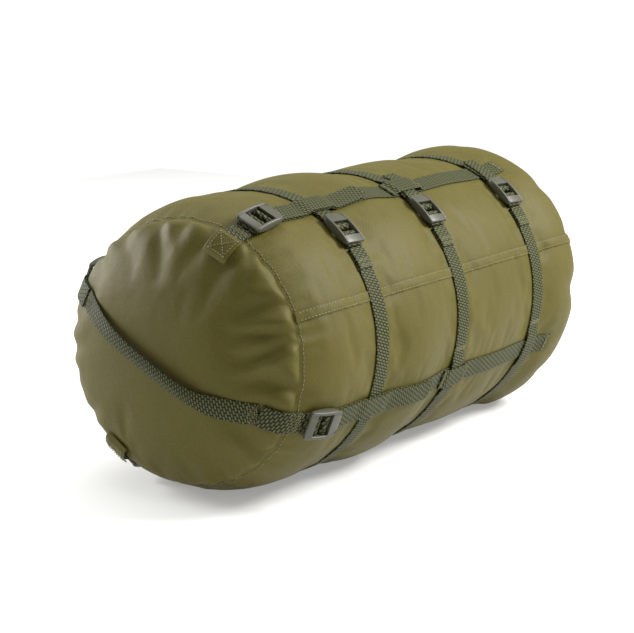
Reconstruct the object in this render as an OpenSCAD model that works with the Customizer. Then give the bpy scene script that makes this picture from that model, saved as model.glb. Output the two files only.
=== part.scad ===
// Compression stuff sack, packed full and lying on its side.
// X runs along the sack from the bottom panel (-X) to the gathered mouth (+X), +Z is up,
// and the origin is on the floor below the middle of the whole object.
// Angles around the sack start at the top and grow towards -Y, then under it and up the +Y side.
// A place on the cloth is given by [s, a, h]: s along the sack from the bottom panel's seam,
// a around it, and h out from the cloth's outer face.

/* [Sack] */
// Radius of the cloth under the girth straps
girth_r = 134.5; // [110:0.5:165]
// How much smaller the radius is at the bottom panel's seam
seam_in = 12.5; // [6:0.5:20]
// How far the cloth swells out between the panel's seam and girth strap A
shoulder_swell = 0.5; // [0:0.5:8]
// The same between girth straps A and B
belly_swell = 5.5; // [0:0.5:10]
// The same between girth straps B and C
waist_swell = 2; // [0:0.5:10]
// The same between girth strap C and the mouth
mouth_swell = 3.5; // [0:0.5:10]
// How far the sack's weight sinks it on the floor, from its girth radius
settle = 5; // [2:0.5:9]
// Depth of the bottom panel's dome
dome_l = 32; // [20:1:60]
// Length of the rounded end that closes in to the mouth
mouth_l = 68; // [45:1:100]
// How square the mouth end is, 2 is an ellipse
mouth_square = 3; // [2:0.1:4]
// Radius of the hole left when the mouth is gathered
mouth_hole_r = 24; // [18:1:40]
// Depth of the hollow that the gathered mouth sinks into
mouth_sink = 8; // [6:1:20]
// Radius of that hollow
mouth_sink_r = 62; // [50:1:80]
// How much wider than tall the sack is at the bottom panel, as a share of its radius
oval_panel = 0.038; // [0:0.002:0.08]
// The same at girth strap C
oval_mouth = -0.004; // [-0.04:0.002:0.04]
// How far the bottom panel's top leans towards the mouth
lean_panel = 7; // [0:0.5:15]
// The same for girth strap C
lean_mouth = 10; // [0:0.5:15]
// Thickness of the coated cloth
cloth_t = 0.8; // [0.4:0.1:1.5]
// Thickness of a seam allowance
seam_t = 0.8; // [0.4:0.1:1.5]
// Width of a seam allowance
seam_w = 12; // [8:1:20]
// Angle of the side seam
side_seam_a = 68; // [55:1:90]

/* [Webbing] */
// Width of the webbing
web_w = 20; // [15:0.5:25]
// Thickness of the webbing
web_t = 1.4; // [1:0.1:2]
// Clearance between two layers that lie on each other
gap = 0.4; // [0.3:0.05:0.8]
// Girth strap A, from the panel seam to its middle
girth_a_s = 105; // [95:1:125]
// Girth strap B
girth_b_s = 246; // [215:1:290]
// Girth strap C
girth_c_s = 398; // [350:1:460]
// Angle of lengthwise strap 1
strap_1_a = 25; // [20:1:27]
// Angle of lengthwise strap 2
strap_2_a = 112; // [100:1:120]
// Angle of lengthwise strap 3
strap_3_a = 213; // [211:1:225]
// Angle of lengthwise strap 4
strap_4_a = 294; // [280:1:305]
// How far the lengthwise straps run past girth strap C
strap_past = 38; // [25:1:45]
// Length of the keeper that holds girth strap B down
keeper_l = 46; // [42:1:60]
// Sideways drift of girth strap B's tail at its free end
tail_b_skew = 14; // [0:1:16]
// The same for girth strap C
tail_c_skew = 3; // [0:1:12]

/* [Ladder locks] */
// Length of a ladder lock
lock_l = 36; // [34:1:42]
// Thickness of its side rails, across the webbing
rail_w = 3; // [2:0.25:5]
// Side clearance between webbing and rails
rail_gap = 0.5; // [0.3:0.1:1.5]
// Radius of its two cross bars
bar_r = 1.6; // [1.2:0.1:2]
// Spacing of the two cross bars
bar_pitch = 9.5; // [9:0.5:11]
// Clearance between a bar and the webbing round it
bar_gap = 0.15; // [0.1:0.05:0.3]
// Thickness of its end plate and lip
plate_t = 2.4; // [1.6:0.1:3]
// Around the sack, from lengthwise strap 1 to the middle of the girth ladder locks
girth_lock_past = 35.5; // [35:0.5:60]
// Panel seam to the middle of the ladder locks on the lengthwise straps
strap_lock_s = 29; // [28:0.5:40]

/* [Carry handle] */
// Height that the handle stands off the bottom panel, halfway
handle_off = 9; // [7:0.5:20]
// Width of the handle's webbing where it is folded on itself
handle_fold_w = 13; // [10:0.5:20]

/* [Mouth] */
// Radius of the drawcord
cord_r = 2; // [1.5:0.25:2.5]
// Radius of the tunnel's hollow round the drawcord
tunnel_r = 3; // [2.6:0.1:4]
// Length of the ruffle outside the tunnel
ruffle_l = 9; // [5:1:15]

/* [Hidden] */

CLOTH = [0.40, 0.38, 0.22];
WEBBING = [0.36, 0.38, 0.27];
PLASTIC = [0.50, 0.50, 0.44];
CORD = [0.20, 0.21, 0.15];
METAL = [0.45, 0.43, 0.36];
LOAD = [0.30, 0.32, 0.27];

seam_r = girth_r - seam_in;
shoulder_r = girth_r + shoulder_swell;
belly_r = girth_r + belly_swell;
waist_r = girth_r + waist_swell;
mouth_r = girth_r + mouth_swell;
// Height of the sack's middle line above the floor
axis_z = girth_r - settle;
// Degrees round the sack for a length of cloth under a girth strap
function turn(l) = l / girth_r * 180 / PI;
girth_lock_a = strap_1_a + turn(girth_lock_past);
// Girth straps' tails end at these angles, and drift this far along the sack
GIRTH_TAILS = [strap_1_a - turn(7), strap_1_a - turn(23.5), strap_1_a - turn(16.5)];
// Lengthwise straps' tails end this far from the panel's seam
STRAP_TAILS = [173, 193, 160, 166];

// One layer of webbing with its clearance
layer = web_t + gap;
// The girth strap's seat is flat this far each side of its middle
seat = web_w / 2 + 2;
// Where the mouth end begins to close in
mouth_s = girth_c_s + 42;
// The cloth under a girth strap is held this far off the floor
seat_lift = layer + 0.2;
// The lengthwise straps end here
strap_end_s = girth_c_s + strap_past;
STRAPS = [strap_1_a, strap_2_a, strap_3_a, strap_4_a];
GIRTHS = [girth_a_s, girth_b_s, girth_c_s];
// Points around the sack
COLS = 48;
// Handle's outer face beyond the panel's crown
handle_out = gap + handle_off + web_t;
// Furthest reach of the mouth end beyond mouth_s, with its lean
reach_e = mouth_square / (mouth_square - 1);
mouth_reach = pow(pow(mouth_l, reach_e) + pow(lean_mouth, reach_e), 1 / reach_e);
whole_l = handle_out + dome_l + mouth_s + mouth_reach;
seam_x = -whole_l / 2 + handle_out + dome_l;

// ---------- the sack's surface ----------

// Eases from 0 to 1
function ease(t) = (1 - cos(180 * min(max(t, 0), 1))) / 2;
// 1 on a flat of half-width f round c, falling to 0 over a ramp on each side
function hump(v, c, f, ramp) = 1 - ease((abs(v - c) - f) / ramp);

// Swells and seats along the tube, [s, radius]
PROFILE = [
    [girth_a_s / 2, shoulder_r],
    [girth_a_s - seat, girth_r], [girth_a_s + seat, girth_r],
    [(girth_a_s + girth_b_s) / 2, belly_r],
    [girth_b_s - seat, girth_r], [girth_b_s + seat, girth_r],
    [(girth_b_s + girth_c_s) / 2, waist_r],
    [girth_c_s - seat, girth_r], [girth_c_s + seat, girth_r],
    [mouth_s, mouth_r]
];
function profile_r(s, i = 0) =
    i >= len(PROFILE) - 2 || s < PROFILE[i + 1][0]
    ? let (p = PROFILE[i], q = PROFILE[i + 1])
        p[1] + (q[1] - p[1]) * ease((s - p[0]) / (q[0] - p[0]))
    : profile_r(s, i + 1);
function tube_r(s) =
    s < PROFILE[0][0]
    ? seam_r + (shoulder_r - seam_r) * sin(90 * max(s, 0) / PROFILE[0][0])
    : profile_r(s);

function along(s) = min(max(s / girth_c_s, 0), 1);
function oval(s) = oval_panel + (oval_mouth - oval_panel) * along(s);
function lean(s) = lean_panel + (lean_mouth - lean_panel) * along(s);
// Height of the cloth's lowest face: on the floor, and lifted under each girth strap
function rest_z(s) =
    seat_lift * max([for (g = GIRTHS) hump(s, g, seat, 14)]);

// The bottom panel is a half ellipse turned round X. Arc length from the seam gives its angle.
ARC = [for (i = 0, l = 0; i <= 45; i = i + 1,
        l = l + 2 * PI / 180 * norm([dome_l * cos(2 * i - 1), seam_r * sin(2 * i - 1)])) [l, 2 * i]];
function dome_angle(q) = lookup(q, ARC);

// Point on the bottom panel: q is the distance in from the seam
function dome_pt(q, a, h) = let (
        f = dome_angle(q),
        n = [sin(f) / dome_l, cos(f) / seam_r] / norm([sin(f) / dome_l, cos(f) / seam_r]),
        r = seam_r * cos(f),
        z = r * (1 - oval_panel) + h * n[1],
        y = r * (1 + oval_panel) + h * n[1]
    )
    [
        seam_x - dome_l * sin(f) - h * n[0] + lean_panel * cos(a) * r / seam_r,
        -y * sin(a),
        axis_z + z * cos(a)
    ];
// Point on the tube
function tube_pt(s, a, h) = let (r = tube_r(s), z = axis_z + (r * (1 - oval(s)) + h) * cos(a))
    [
        seam_x + s + lean(s) * cos(a),
        -(r * (1 + oval(s)) + h) * sin(a),
        max(z, rest_z(s) - h)
    ];
// Point on the sack: s below 0 lies on the bottom panel
function skin(s, a, h) = s < 0 ? dome_pt(-s, a, h) : tube_pt(s, a, h);
// Point on the closing mouth end: f goes from 0 at its rim to 90 on the axis
function mouth_pt(f, a, h) = let (
        e = 2 / mouth_square,
        r = (mouth_r + h) * pow(cos(f), e),
        sink = mouth_sink * ease((mouth_sink_r - r) / (mouth_sink_r - mouth_hole_r)),
        z = axis_z + r * (1 - oval_mouth) * cos(a)
    )
    [
        seam_x + mouth_s + (mouth_l + h) * pow(sin(f), e) - sink
            + lean_mouth * cos(a) * pow(cos(f), e),
        -r * (1 + oval_mouth) * sin(a),
        max(z, -h)
    ];
// Mouth angle at which the cloth reaches the gathered hole
function mouth_end_f(r) = acos(pow(r / mouth_r, mouth_square / 2));

// ---------- solids from loops of points ----------

function flatten(l) = [for (a = l) for (b = a) b];
// Closed solid through a row of loops; joined makes the last loop meet the first
module loft(loops, joined = false) {
    n = len(loops[0]);
    m = len(loops);
    polyhedron(
        points = flatten(loops),
        faces = concat(
            joined ? [] : [[for (j = [n - 1 : -1 : 0]) j]],
            joined ? [] : [[for (j = [0 : n - 1]) (m - 1) * n + j]],
            [for (i = [0 : m - (joined ? 1 : 2)]) for (j = [0 : n - 1])
                [i * n + j, ((i + 1) % m) * n + (j + 1) % n, ((i + 1) % m) * n + j]],
            [for (i = [0 : m - (joined ? 1 : 2)]) for (j = [0 : n - 1])
                [i * n + j, i * n + (j + 1) % n, ((i + 1) % m) * n + (j + 1) % n]]
        ),
        convexity = 8
    );
}
// Closed sheet between two grids of points that have the same rows and columns
module shell(outer, inner) {
    m = len(outer);
    n = len(outer[0]);
    function o(i, j) = i * n + j;
    function p(i, j) = (m + i) * n + j;
    function quad(a, b, c, d) = [[a, c, b], [a, d, c]];
    polyhedron(
        points = concat(flatten(outer), flatten(inner)),
        faces = concat(
            [for (i = [0 : m - 2]) for (j = [0 : n - 2])
                each quad(o(i, j), o(i + 1, j), o(i + 1, j + 1), o(i, j + 1))],
            [for (i = [0 : m - 2]) for (j = [0 : n - 2])
                each quad(p(i, j), p(i, j + 1), p(i + 1, j + 1), p(i + 1, j))],
            [for (i = [0 : m - 2]) each quad(o(i, 0), p(i, 0), p(i + 1, 0), o(i + 1, 0))],
            [for (i = [0 : m - 2])
                each quad(o(i, n - 1), o(i + 1, n - 1), p(i + 1, n - 1), p(i, n - 1))],
            [for (j = [0 : n - 2]) each quad(o(0, j), o(0, j + 1), p(0, j + 1), p(0, j))],
            [for (j = [0 : n - 2]) each quad(o(m - 1, j), p(m - 1, j), p(m - 1, j + 1), o(m - 1, j + 1))]
        ),
        convexity = 8
    );
}
function steps(a, b, n) = [for (i = [0 : n]) a + (b - a) * i / n];
function around(cols) = [for (j = [0 : cols - 1]) -360 * j / cols];

// Half the angle that the webbing covers on a lengthwise strap
web_a = asin(web_w / 2 / girth_r);
// Strip of cloth or webbing along the sack at angle a, between heights lo(s) and hi(s)
module strip_along(ss, a, half_a, lo, hi) {
    loft([for (i = [0 : len(ss) - 1]) let (s = ss[i]) [
        skin(s, a - half_a, lo[i]), skin(s, a, lo[i]), skin(s, a + half_a, lo[i]),
        skin(s, a + half_a, hi[i]), skin(s, a, hi[i]), skin(s, a - half_a, hi[i])
    ]]);
}
// Strip round the sack at distance ss[i], angle as[i], half-width half
module strip_around(as, ss, half, lo, hi) {
    loft([for (i = [0 : len(as) - 1]) [
        skin(ss[i] - half, as[i], hi[i]), skin(ss[i] + half, as[i], hi[i]),
        skin(ss[i] + half, as[i], lo[i]), skin(ss[i] - half, as[i], lo[i])
    ]]);
}

// ---------- cloth ----------

// Rows of points along the tube: the seats' edges, and even steps between them
ROW_STOPS = concat([[gap / 2, 6]], [for (i = [0 : 2]) for (e = [[-seat, 2], [seat, [8, 8, 3][i]]])
    [GIRTHS[i] + e[0], e[1]]], [[mouth_s - 4, 0]]);
TUBE_ROWS = [for (i = [0 : len(ROW_STOPS) - 1]) each
    i == len(ROW_STOPS) - 1 ? [ROW_STOPS[i][0]]
    : [for (k = [0 : ROW_STOPS[i][1] - 1])
        ROW_STOPS[i][0] + (ROW_STOPS[i + 1][0] - ROW_STOPS[i][0]) * k / ROW_STOPS[i][1]]];
// Angles of the mouth end's rows, closer together over the hollow
MOUTH_ROWS = concat(steps(6, mouth_end_f(mouth_sink_r), 5),
    [for (r = [52, 43, 34, mouth_hole_r]) mouth_end_f(r)]);

// A sleeve of cloth between two surfaces that have the same rows
module sleeve(outer, inner) {
    color(CLOTH) loft(concat(outer, [for (i = [len(inner) - 1 : -1 : 0]) inner[i]]), joined = true);
}
module body_tube() {
    function ring(h) = [for (s = TUBE_ROWS) [for (a = around(COLS)) tube_pt(s, a, h)]];
    sleeve(ring(0), ring(-cloth_t));
}
// The same cloth goes on as the rounded end that closes in to the mouth. It is cut in quarters,
// so that what closes one quarter in does not close the mouth.
module mouth_end(quarter) {
    cut = 0.1;
    angles = steps(90 * quarter + 45 - cut, 90 * quarter - 45 + cut, COLS / 4);
    function rows(h) = concat(
        [[for (a = angles) tube_pt(TUBE_ROWS[len(TUBE_ROWS) - 1] + gap, a, h)]],
        [for (f = MOUTH_ROWS) [for (a = angles) mouth_pt(f, a, h)]]
    );
    color(CLOTH) shell(rows(0), rows(-cloth_t));
}

// Distances in from the seam, close together where the dome turns sharply at its rim
dome_arc = ARC[len(ARC) - 1][0];
function dome_rows(first, last, n) = [for (i = [0 : n]) first + (last - first) * pow(i / n, 2)];

module bottom_panel() {
    rows = dome_rows(gap / 2, dome_arc - 3, 11);
    color(CLOTH) loft(concat(
        [for (i = [len(rows) - 1 : -1 : 0]) [for (a = around(COLS)) dome_pt(rows[i], a, 0)]],
        [for (q = rows) [for (a = around(COLS)) dome_pt(q, a, -cloth_t)]]
    ));
}

// The seam allowances of the panel and the tube, turned inside the sack
module panel_seam() {
    out = -cloth_t - gap;
    in = out - seam_t;
    color(CLOTH) loft([for (v = [[seam_w / 2, out], [seam_w / 2, in], [0, in], [-seam_w / 2, in],
                [-seam_w / 2, out], [0, out]])
        [for (a = around(COLS)) skin(v[0], a, v[1])]], joined = true);
}

// The side seam's turned-in allowance, inside the tube
module side_seam() {
    half_a = asin(seam_w / 2 / girth_r);
    ss = concat([seam_w / 2 + 1], [for (s = TUBE_ROWS) if (s > seam_w / 2 + 2 && s < mouth_s - 5) s]);
    out = -cloth_t - gap;
    color(CLOTH) strip_along(ss, side_seam_a, half_a,
        [for (s = ss) out - seam_t], [for (s = ss) out]);
}

// The load is hollowed this much more than the cloth, behind the gathered hem
load_sink = 9;
// What the sack is packed with, such as a sleeping bag
module packed_load() {
    h = -cloth_t - gap - seam_t - 1.2;
    cols = 32;
    color(LOAD) loft(concat(
        [for (i = [9 : -1 : 1]) [for (a = around(cols)) dome_pt(dome_arc * pow(i / 9.2, 2), a, h)]],
        [for (s = TUBE_ROWS) [for (a = around(cols)) tube_pt(s, a, h)]],
        [for (f = MOUTH_ROWS) let (deep = load_sink * ease((MOUTH_ROWS[5] - f) / (MOUTH_ROWS[5] - mouth_end_f(mouth_hole_r))))
            [for (a = around(cols)) mouth_pt(f, a, h) - [deep, 0, 0]]]
    ));
}

// ---------- gathered mouth ----------

tunnel_wall = cloth_t;
tunnel_out = tunnel_r + tunnel_wall;
tunnel_mid_r = mouth_hole_r - tunnel_out - gap;
// Tunnel's middle, so that the ruffle ends at the object's far face
tunnel_x = whole_l / 2 - ruffle_l - tunnel_out;
eyelet_a = 14;

module at_mouth() {
    translate([tunnel_x, 0, axis_z]) rotate([0, 90, 0]) children();
}

// The gathered hem: a sewn tunnel for the drawcord, with a ruffle outside it
module mouth_hem() {
    color(CLOTH) at_mouth() difference() {
        rotate_extrude($fn = 64) {
            difference() {
                union() {
                    translate([tunnel_mid_r, 0]) circle(r = tunnel_out, $fn = 40);
                    translate([tunnel_mid_r - tunnel_wall, 0])
                        square([2 * tunnel_wall, tunnel_out + ruffle_l]);
                }
                translate([tunnel_mid_r, 0]) circle(r = tunnel_r, $fn = 40);
            }
        }
        eyelet_holes(cord_r + 1);
    }
}

// Two round ways from the tunnel's hollow out through its inner wall
module eyelet_holes(r) {
    for (side = [-1, 1]) rotate([0, 0, side * eyelet_a])
        translate([tunnel_mid_r - tunnel_r, 0, 0]) rotate([0, 90, 0])
            cylinder(r = r, h = 2 * tunnel_wall + 2, center = true, $fn = 32);
}

// The drawcord's stretch inside the tunnel
module drawcord() {
    color(CORD) at_mouth() rotate([0, 0, eyelet_a + 8])
        rotate_extrude(angle = 360 - 2 * eyelet_a - 16, $fn = 64)
            translate([tunnel_mid_r, 0]) circle(r = cord_r, $fn = 24);
}

// Rolled eyelets set in the tunnel's inner wall
module eyelets() {
    color(METAL) at_mouth() for (side = [-1, 1]) rotate([0, 0, side * eyelet_a])
        translate([tunnel_mid_r - tunnel_r - tunnel_wall / 2, 0, 0]) rotate([0, 90, 0]) difference() {
            union() {
                cylinder(r = cord_r + 0.9, h = tunnel_wall + 1.4, center = true, $fn = 32);
                translate([0, 0, -tunnel_wall / 2 - 1.4])
                    cylinder(r = cord_r + 1.8, h = 0.7, $fn = 32);
            }
            cylinder(r = cord_r + 0.3, h = 8, center = true, $fn = 32);
        }
}

// ---------- ladder locks ----------

// Each lock stands in its own frame: u towards its lip, v across the webbing, w outwards.
lock_half = lock_l / 2;
bar_w = gap + web_t + bar_gap + bar_r;
wrap_r = bar_r + bar_gap + web_t / 2;
adjust_u = 3;
anchor_u = adjust_u - bar_pitch;
rail_in = web_w / 2 + rail_gap;
lock_w = 2 * (rail_in + rail_w);
// Plates stop short of the wrapped bars
plate_gap_u = wrap_r + web_t / 2 + 0.9;
// A lock pivots here, on the fold of its anchor webbing
fold_u = -lock_half - 1.5;
fold_w = 2 * layer + 0.3;

function unit(v) = v / norm(v);
// Frame at a place on the sack, [origin, u, v, w]; turned gives u round the sack and not along it
function lock_frame(s, a, girth) = let (
        o = skin(s, a, 0),
        da = lock_half / tube_r(s) * 180 / PI,
        u = girth ? unit(skin(s, a - da, 0) - skin(s, a + da, 0))
                  : unit(skin(s + lock_half, a, 0) - skin(s - lock_half, a, 0)),
        side = girth ? [1, 0, 0] : [0, -cos(a), -sin(a)],
        w0 = unit(cross(u, side)),
        w = (w0 * [0, -sin(a), cos(a)]) > 0 ? w0 : -w0
    ) [o, u, cross(w, u), w];
module in_frame(f) {
    multmatrix([
        [f[1][0], f[2][0], f[3][0], f[0][0]],
        [f[1][1], f[2][1], f[3][1], f[0][1]],
        [f[1][2], f[2][2], f[3][2], f[0][2]]
    ]) children();
}
function girth_frame(s) = lock_frame(s, girth_lock_a, true);
function strap_frame(a) = lock_frame(strap_lock_s, a, false);

// Arched outlines of the lock, as heights over u
crown_w = bar_w + wrap_r + web_t / 2 + 2.3;
function arch_top(u) = crown_w - 1.8 * pow(u / lock_half, 2);
function arch_low(u) = 1.1 + 2.6 * pow(u / lock_half, 2);
module side_prism(pts, w) {
    rotate([90, 0, 0]) linear_extrude(w, center = true) polygon(pts);
}
module plate(u0, u1) {
    us = steps(u0, u1, 4);
    side_prism(concat(
        [for (u = us) [u, arch_top(u) - 0.3]],
        [for (i = [len(us) - 1 : -1 : 0]) [us[i], arch_top(us[i]) - 0.3 - plate_t]]
    ), lock_w);
}
module rail() {
    us = steps(-lock_half, lock_half, 12);
    side_prism(concat(
        [for (u = us) [u, arch_top(u)]],
        [for (i = [len(us) - 1 : -1 : 0]) [us[i], arch_low(us[i])]]
    ), rail_w);
}
// Plan outline: a square end with small corners and a lip that narrows in a round
module lock_plan() {
    half = lock_w / 2;
    c = 2;
    lip = adjust_u + plate_gap_u;
    l = lock_half - lip;
    pts = concat(
        [for (t = [180 : 30 : 270]) [-lock_half + c + c * cos(t), -half + c + c * sin(t)]],
        [for (t = [0 : 15 : 90]) [lip + l * sin(t), -half * (0.52 + 0.48 * pow(cos(t), 0.8))]],
        [for (t = [90 : -15 : 0]) [lip + l * sin(t), half * (0.52 + 0.48 * pow(cos(t), 0.8))]],
        [for (t = [90 : 30 : 180]) [-lock_half + c + c * cos(t), half - c + c * sin(t)]]
    );
    linear_extrude(40, center = true) polygon(pts);
}
module ladder_lock(frame) {
    color(PLASTIC) in_frame(frame) {
        intersection() {
            union() {
                for (side = [-1, 1]) translate([0, side * (rail_in + rail_w / 2), 0]) rail();
                plate(-lock_half, anchor_u - plate_gap_u);
                plate(adjust_u + plate_gap_u, lock_half);
            }
            lock_plan();
        }
        for (u = [anchor_u, adjust_u]) translate([u, 0, bar_w]) rotate([90, 0, 0])
            cylinder(r = bar_r, h = 2 * rail_in + 1, center = true, $fn = 40);
    }
}

// Webbing of one thickness along a path in the lock's u-w plane
module ribbon(path) {
    n = len(path);
    function normal(i) = let (d = unit(path[min(i + 1, n - 1)] - path[max(i - 1, 0)])) [-d[1], d[0]];
    side_prism(concat(
        [for (i = [0 : n - 1]) path[i] + normal(i) * web_t / 2],
        [for (i = [n - 1 : -1 : 0]) path[i] - normal(i) * web_t / 2]
    ), web_w);
}
low_w = gap + web_t / 2;
high_w = low_w + layer;
// Angle on the bar where the webbing leaves it for the upper layer
leave_l = 8;
leave_a = atan2(high_w - bar_w, leave_l) + acos(wrap_r / norm([leave_l, high_w - bar_w]));
// The strap's turn over the adjusting bar
threading_end_u = adjust_u + leave_l + 1;
module threading(frame) {
    color(WEBBING) in_frame(frame) ribbon(concat(
        [[threading_end_u - 2, low_w], [adjust_u + 1, low_w]],
        [for (t = [-90 : -15 : -269]) [adjust_u, bar_w] + wrap_r * [cos(t), sin(t)]],
        [for (t = [90, leave_a]) [adjust_u, bar_w] + wrap_r * [cos(t), sin(t)]],
        [[adjust_u + leave_l, high_w], [threading_end_u, high_w]]
    ));
}
// The anchor webbing's loop round the anchor bar
module anchor_loop(frame) {
    color(WEBBING) in_frame(frame) ribbon(concat(
        [[fold_u + 0.3, low_w], [anchor_u - 1, low_w]],
        [for (t = [-90 : 15 : 89]) [anchor_u, bar_w] + wrap_r * [cos(t), sin(t)]],
        [for (t = [90, 180 - leave_a]) [anchor_u, bar_w] + wrap_r * [cos(t), sin(t)]],
        [[anchor_u - leave_l, high_w], [fold_u + 0.3, high_w]]
    ));
}

// ---------- girth straps ----------

// Angles at which the doubled anchor end, the run and the tail meet the lock
function lock_a(u) = girth_lock_a - turn(u);
girth_anchor_a = lock_a(fold_u - 0.5);
girth_run_a = lock_a(threading_end_u - 1.5);
girth_tail_a = lock_a(threading_end_u + 0.6);
// Beside lengthwise strap 1 a girth strap begins to climb here
climb_flat = turn(3.5);
climb_ramp = turn(9.5);
girth_climb_a = strap_1_a + web_a + climb_flat + climb_ramp;
// The anchor end is folded back and sewn down over this angle
girth_double_a = turn(21);

// Height of a girth strap: over the lengthwise straps, or straight on the cloth
function girth_h(a, over) = gap + (over
    ? layer * max([for (f = STRAPS) max(hump(a, f, web_a + climb_flat, climb_ramp), hump(a - 360, f, web_a + climb_flat, climb_ramp))])
    : 0);
// A layer of webbing round the sack, its lower face at heights lo
module web_around(as, ss, lo) {
    strip_around(as, ss, web_w / 2, lo, [for (h = lo) h + web_t]);
}
module girth_strap(s, over, tail_to, skew) {
    // The run goes from the lock down the front, under the sack and back over the top
    as = concat([girth_anchor_a],
        [for (a = [ceil((girth_anchor_a + 0.5) / 3.75) * 3.75 : 3.75 : 360 + girth_climb_a - 0.5]) a],
        [360 + girth_climb_a, 360 + girth_run_a]);
    ds = steps(girth_anchor_a, girth_anchor_a + girth_double_a, 3);
    ts = concat([tail_to],
        [for (a = [ceil((tail_to + 0.5) / 3.75) * 3.75 : 3.75 : girth_tail_a - 0.5]) a],
        [girth_tail_a]);
    span = girth_tail_a - tail_to;
    color(WEBBING) {
        web_around(as, [for (a = as) s], [for (a = as) girth_h(a, over)]);
        web_around(ds, [for (a = ds) s], [for (a = ds) gap + layer]);
        web_around(ts, [for (a = ts) s + skew * ease((girth_tail_a - a) / span)],
            [for (a = ts) girth_h(a, over) + layer]);
    }
}

// ---------- lengthwise straps ----------

strap_run_s = strap_lock_s + threading_end_u - 1.5;
strap_tail_s = strap_lock_s + threading_end_u + 0.6;
strap_fold_s = strap_lock_s + fold_u - 0.5;
// Height of a lengthwise strap's run, which climbs over girth strap A
function strap_h(s, layers) = gap + layer * layers * hump(s, girth_a_s, web_w / 2 + 3, 14);
// A layer of webbing along the sack, its lower face at heights lo
module web_along(ss, a, lo) {
    strip_along(ss, a, web_a, lo, [for (h = lo) h + web_t]);
}
// layers is how many layers of girth strap A it crosses
module long_strap(a, layers, tail_to) {
    ss = steps(strap_run_s, strap_end_s, 56);
    ts = concat([strap_tail_s], [for (s = ss) if (s > strap_tail_s + 1 && s < tail_to - 1) s],
        [tail_to]);
    color(WEBBING) {
        web_along(ss, a, [for (s = ss) strap_h(s, layers)]);
        web_along(ts, a, [for (s = ts) strap_h(s, layers) + layer]);
    }
}
// Keeper sewn to a lengthwise strap, over the layers of girth strap B that cross it
module keeper(a, layers, extra) {
    ss = steps(girth_b_s - keeper_l / 2, girth_b_s + keeper_l / 2 + extra, 16);
    mid = girth_b_s + extra / 2;
    color(WEBBING) web_along(ss, a, [for (s = ss)
        gap + layer + layer * layers * hump(s, mid, web_w / 2 + 2 + extra / 2, 7)]);
}

// ---------- anchors and handle on the bottom panel ----------

// How far in from the seam the anchors' webbing is sewn
anchor_in = 22;
// Doubled anchor webbing from a lock's fold over the seam onto the bottom panel
module anchor(a) {
    ss = steps(strap_fold_s, -anchor_in, 16);
    color(WEBBING) for (h = [gap, gap + layer])
        web_along([for (i = [len(ss) - 1 : -1 : 0]) ss[i]], a, [for (s = ss) h]);
}
// Cloth patch that covers the end of an anchor's webbing
patch_w = 27;
module anchor_patch(a) {
    ss = steps(-anchor_in - 1, -5, 8);
    color(CLOTH) strip_along(ss, a, asin(patch_w / 2 / seam_r),
        [for (s = ss) gap + 2 * layer], [for (s = ss) gap + 2 * layer + cloth_t]);
}

// Point on the bottom panel above a place [y, z] from its middle
function panel_pt(y, z, h) = let (
        u = y / seam_r / (1 + oval_panel),
        v = z / seam_r / (1 - oval_panel),
        c = sqrt(max(1 - u * u - v * v, 0))
    ) [seam_x - dome_l * c + lean_panel * v, y, axis_z + z] + h * panel_n(y, z);
function panel_n(y, z) = let (
        u = y / seam_r / (1 + oval_panel),
        v = z / seam_r / (1 - oval_panel)
    ) unit([-sqrt(max(1 - u * u - v * v, 0)) / dome_l,
        u / seam_r / (1 + oval_panel), v / seam_r / (1 - oval_panel)]);
// Where an anchor's webbing ends, as [y, z]
function anchor_end(a) = let (p = dome_pt(anchor_in + 6, a, 0)) [p[1], p[2] - axis_z];

// The handle's way across the panel: share of the way between its ends, drop below the straight
// line between them, share of its full height off the panel, share of its fold
HANDLE = [
    [0, 0, 0, 0], [0.06, 4, 0.08, 0], [0.13, 8, 0.3, 0], [0.20, 11, 0.6, 0.2],
    [0.26, 12, 0.85, 0.8], [0.34, 12, 1, 1], [0.44, 10.5, 1, 1], [0.55, 9, 1, 1],
    [0.66, 7.5, 1, 1], [0.76, 6, 0.9, 0.9], [0.85, 4, 0.65, 0.6], [0.93, 2, 0.3, 0.2],
    [1, 0, 0, 0]
];
// Smooth curve through the rows of a table
function blend_rows(t, i, k) = let (
        a = t[max(i - 1, 0)], b = t[i], c = t[i + 1], d = t[min(i + 2, len(t) - 1)]
    ) b + (c - a) * k / 2 + (2 * a - 5 * b + 4 * c - d) * k * k / 2
        + (3 * b - a - 3 * c + d) * k * k * k / 2;
HANDLE_ROWS = [for (i = [0 : len(HANDLE) - 2]) for (k = [0 : 2]) blend_rows(HANDLE, i, k / 3)];
module carry_handle() {
    from = anchor_end(strap_2_a);
    to = anchor_end(strap_4_a);
    way = to - from;
    down = unit([way[1], -way[0]]);
    rows = concat(HANDLE_ROWS, [HANDLE[len(HANDLE) - 1]]);
    mid = [for (r = rows) from + way * r[0] + down * r[1]];
    n = len(rows);
    pt = [for (i = [0 : n - 1]) panel_pt(mid[i][0], mid[i][1], gap + handle_off * rows[i][2])];
    loops = [for (i = [0 : n - 1]) let (
            nrm = panel_n(mid[i][0], mid[i][1]),
            tan = unit(pt[min(i + 1, n - 1)] - pt[max(i - 1, 0)]),
            side = unit(cross(nrm, tan)),
            half = (web_w + (handle_fold_w - web_w) * rows[i][3]) / 2
        ) [
            pt[i] - side * half + nrm * web_t, pt[i] + side * half + nrm * web_t,
            pt[i] + side * half, pt[i] - side * half
        ]];
    color(WEBBING) loft(loops);
}

// ---------- assembly ----------

body_tube();
mouth_end(0);  // mouth_end_1
mouth_end(1);  // mouth_end_2
mouth_end(2);  // mouth_end_3
mouth_end(3);  // mouth_end_4
bottom_panel();
panel_seam();
side_seam();
packed_load();
mouth_hem();
drawcord();
eyelets();

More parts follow.
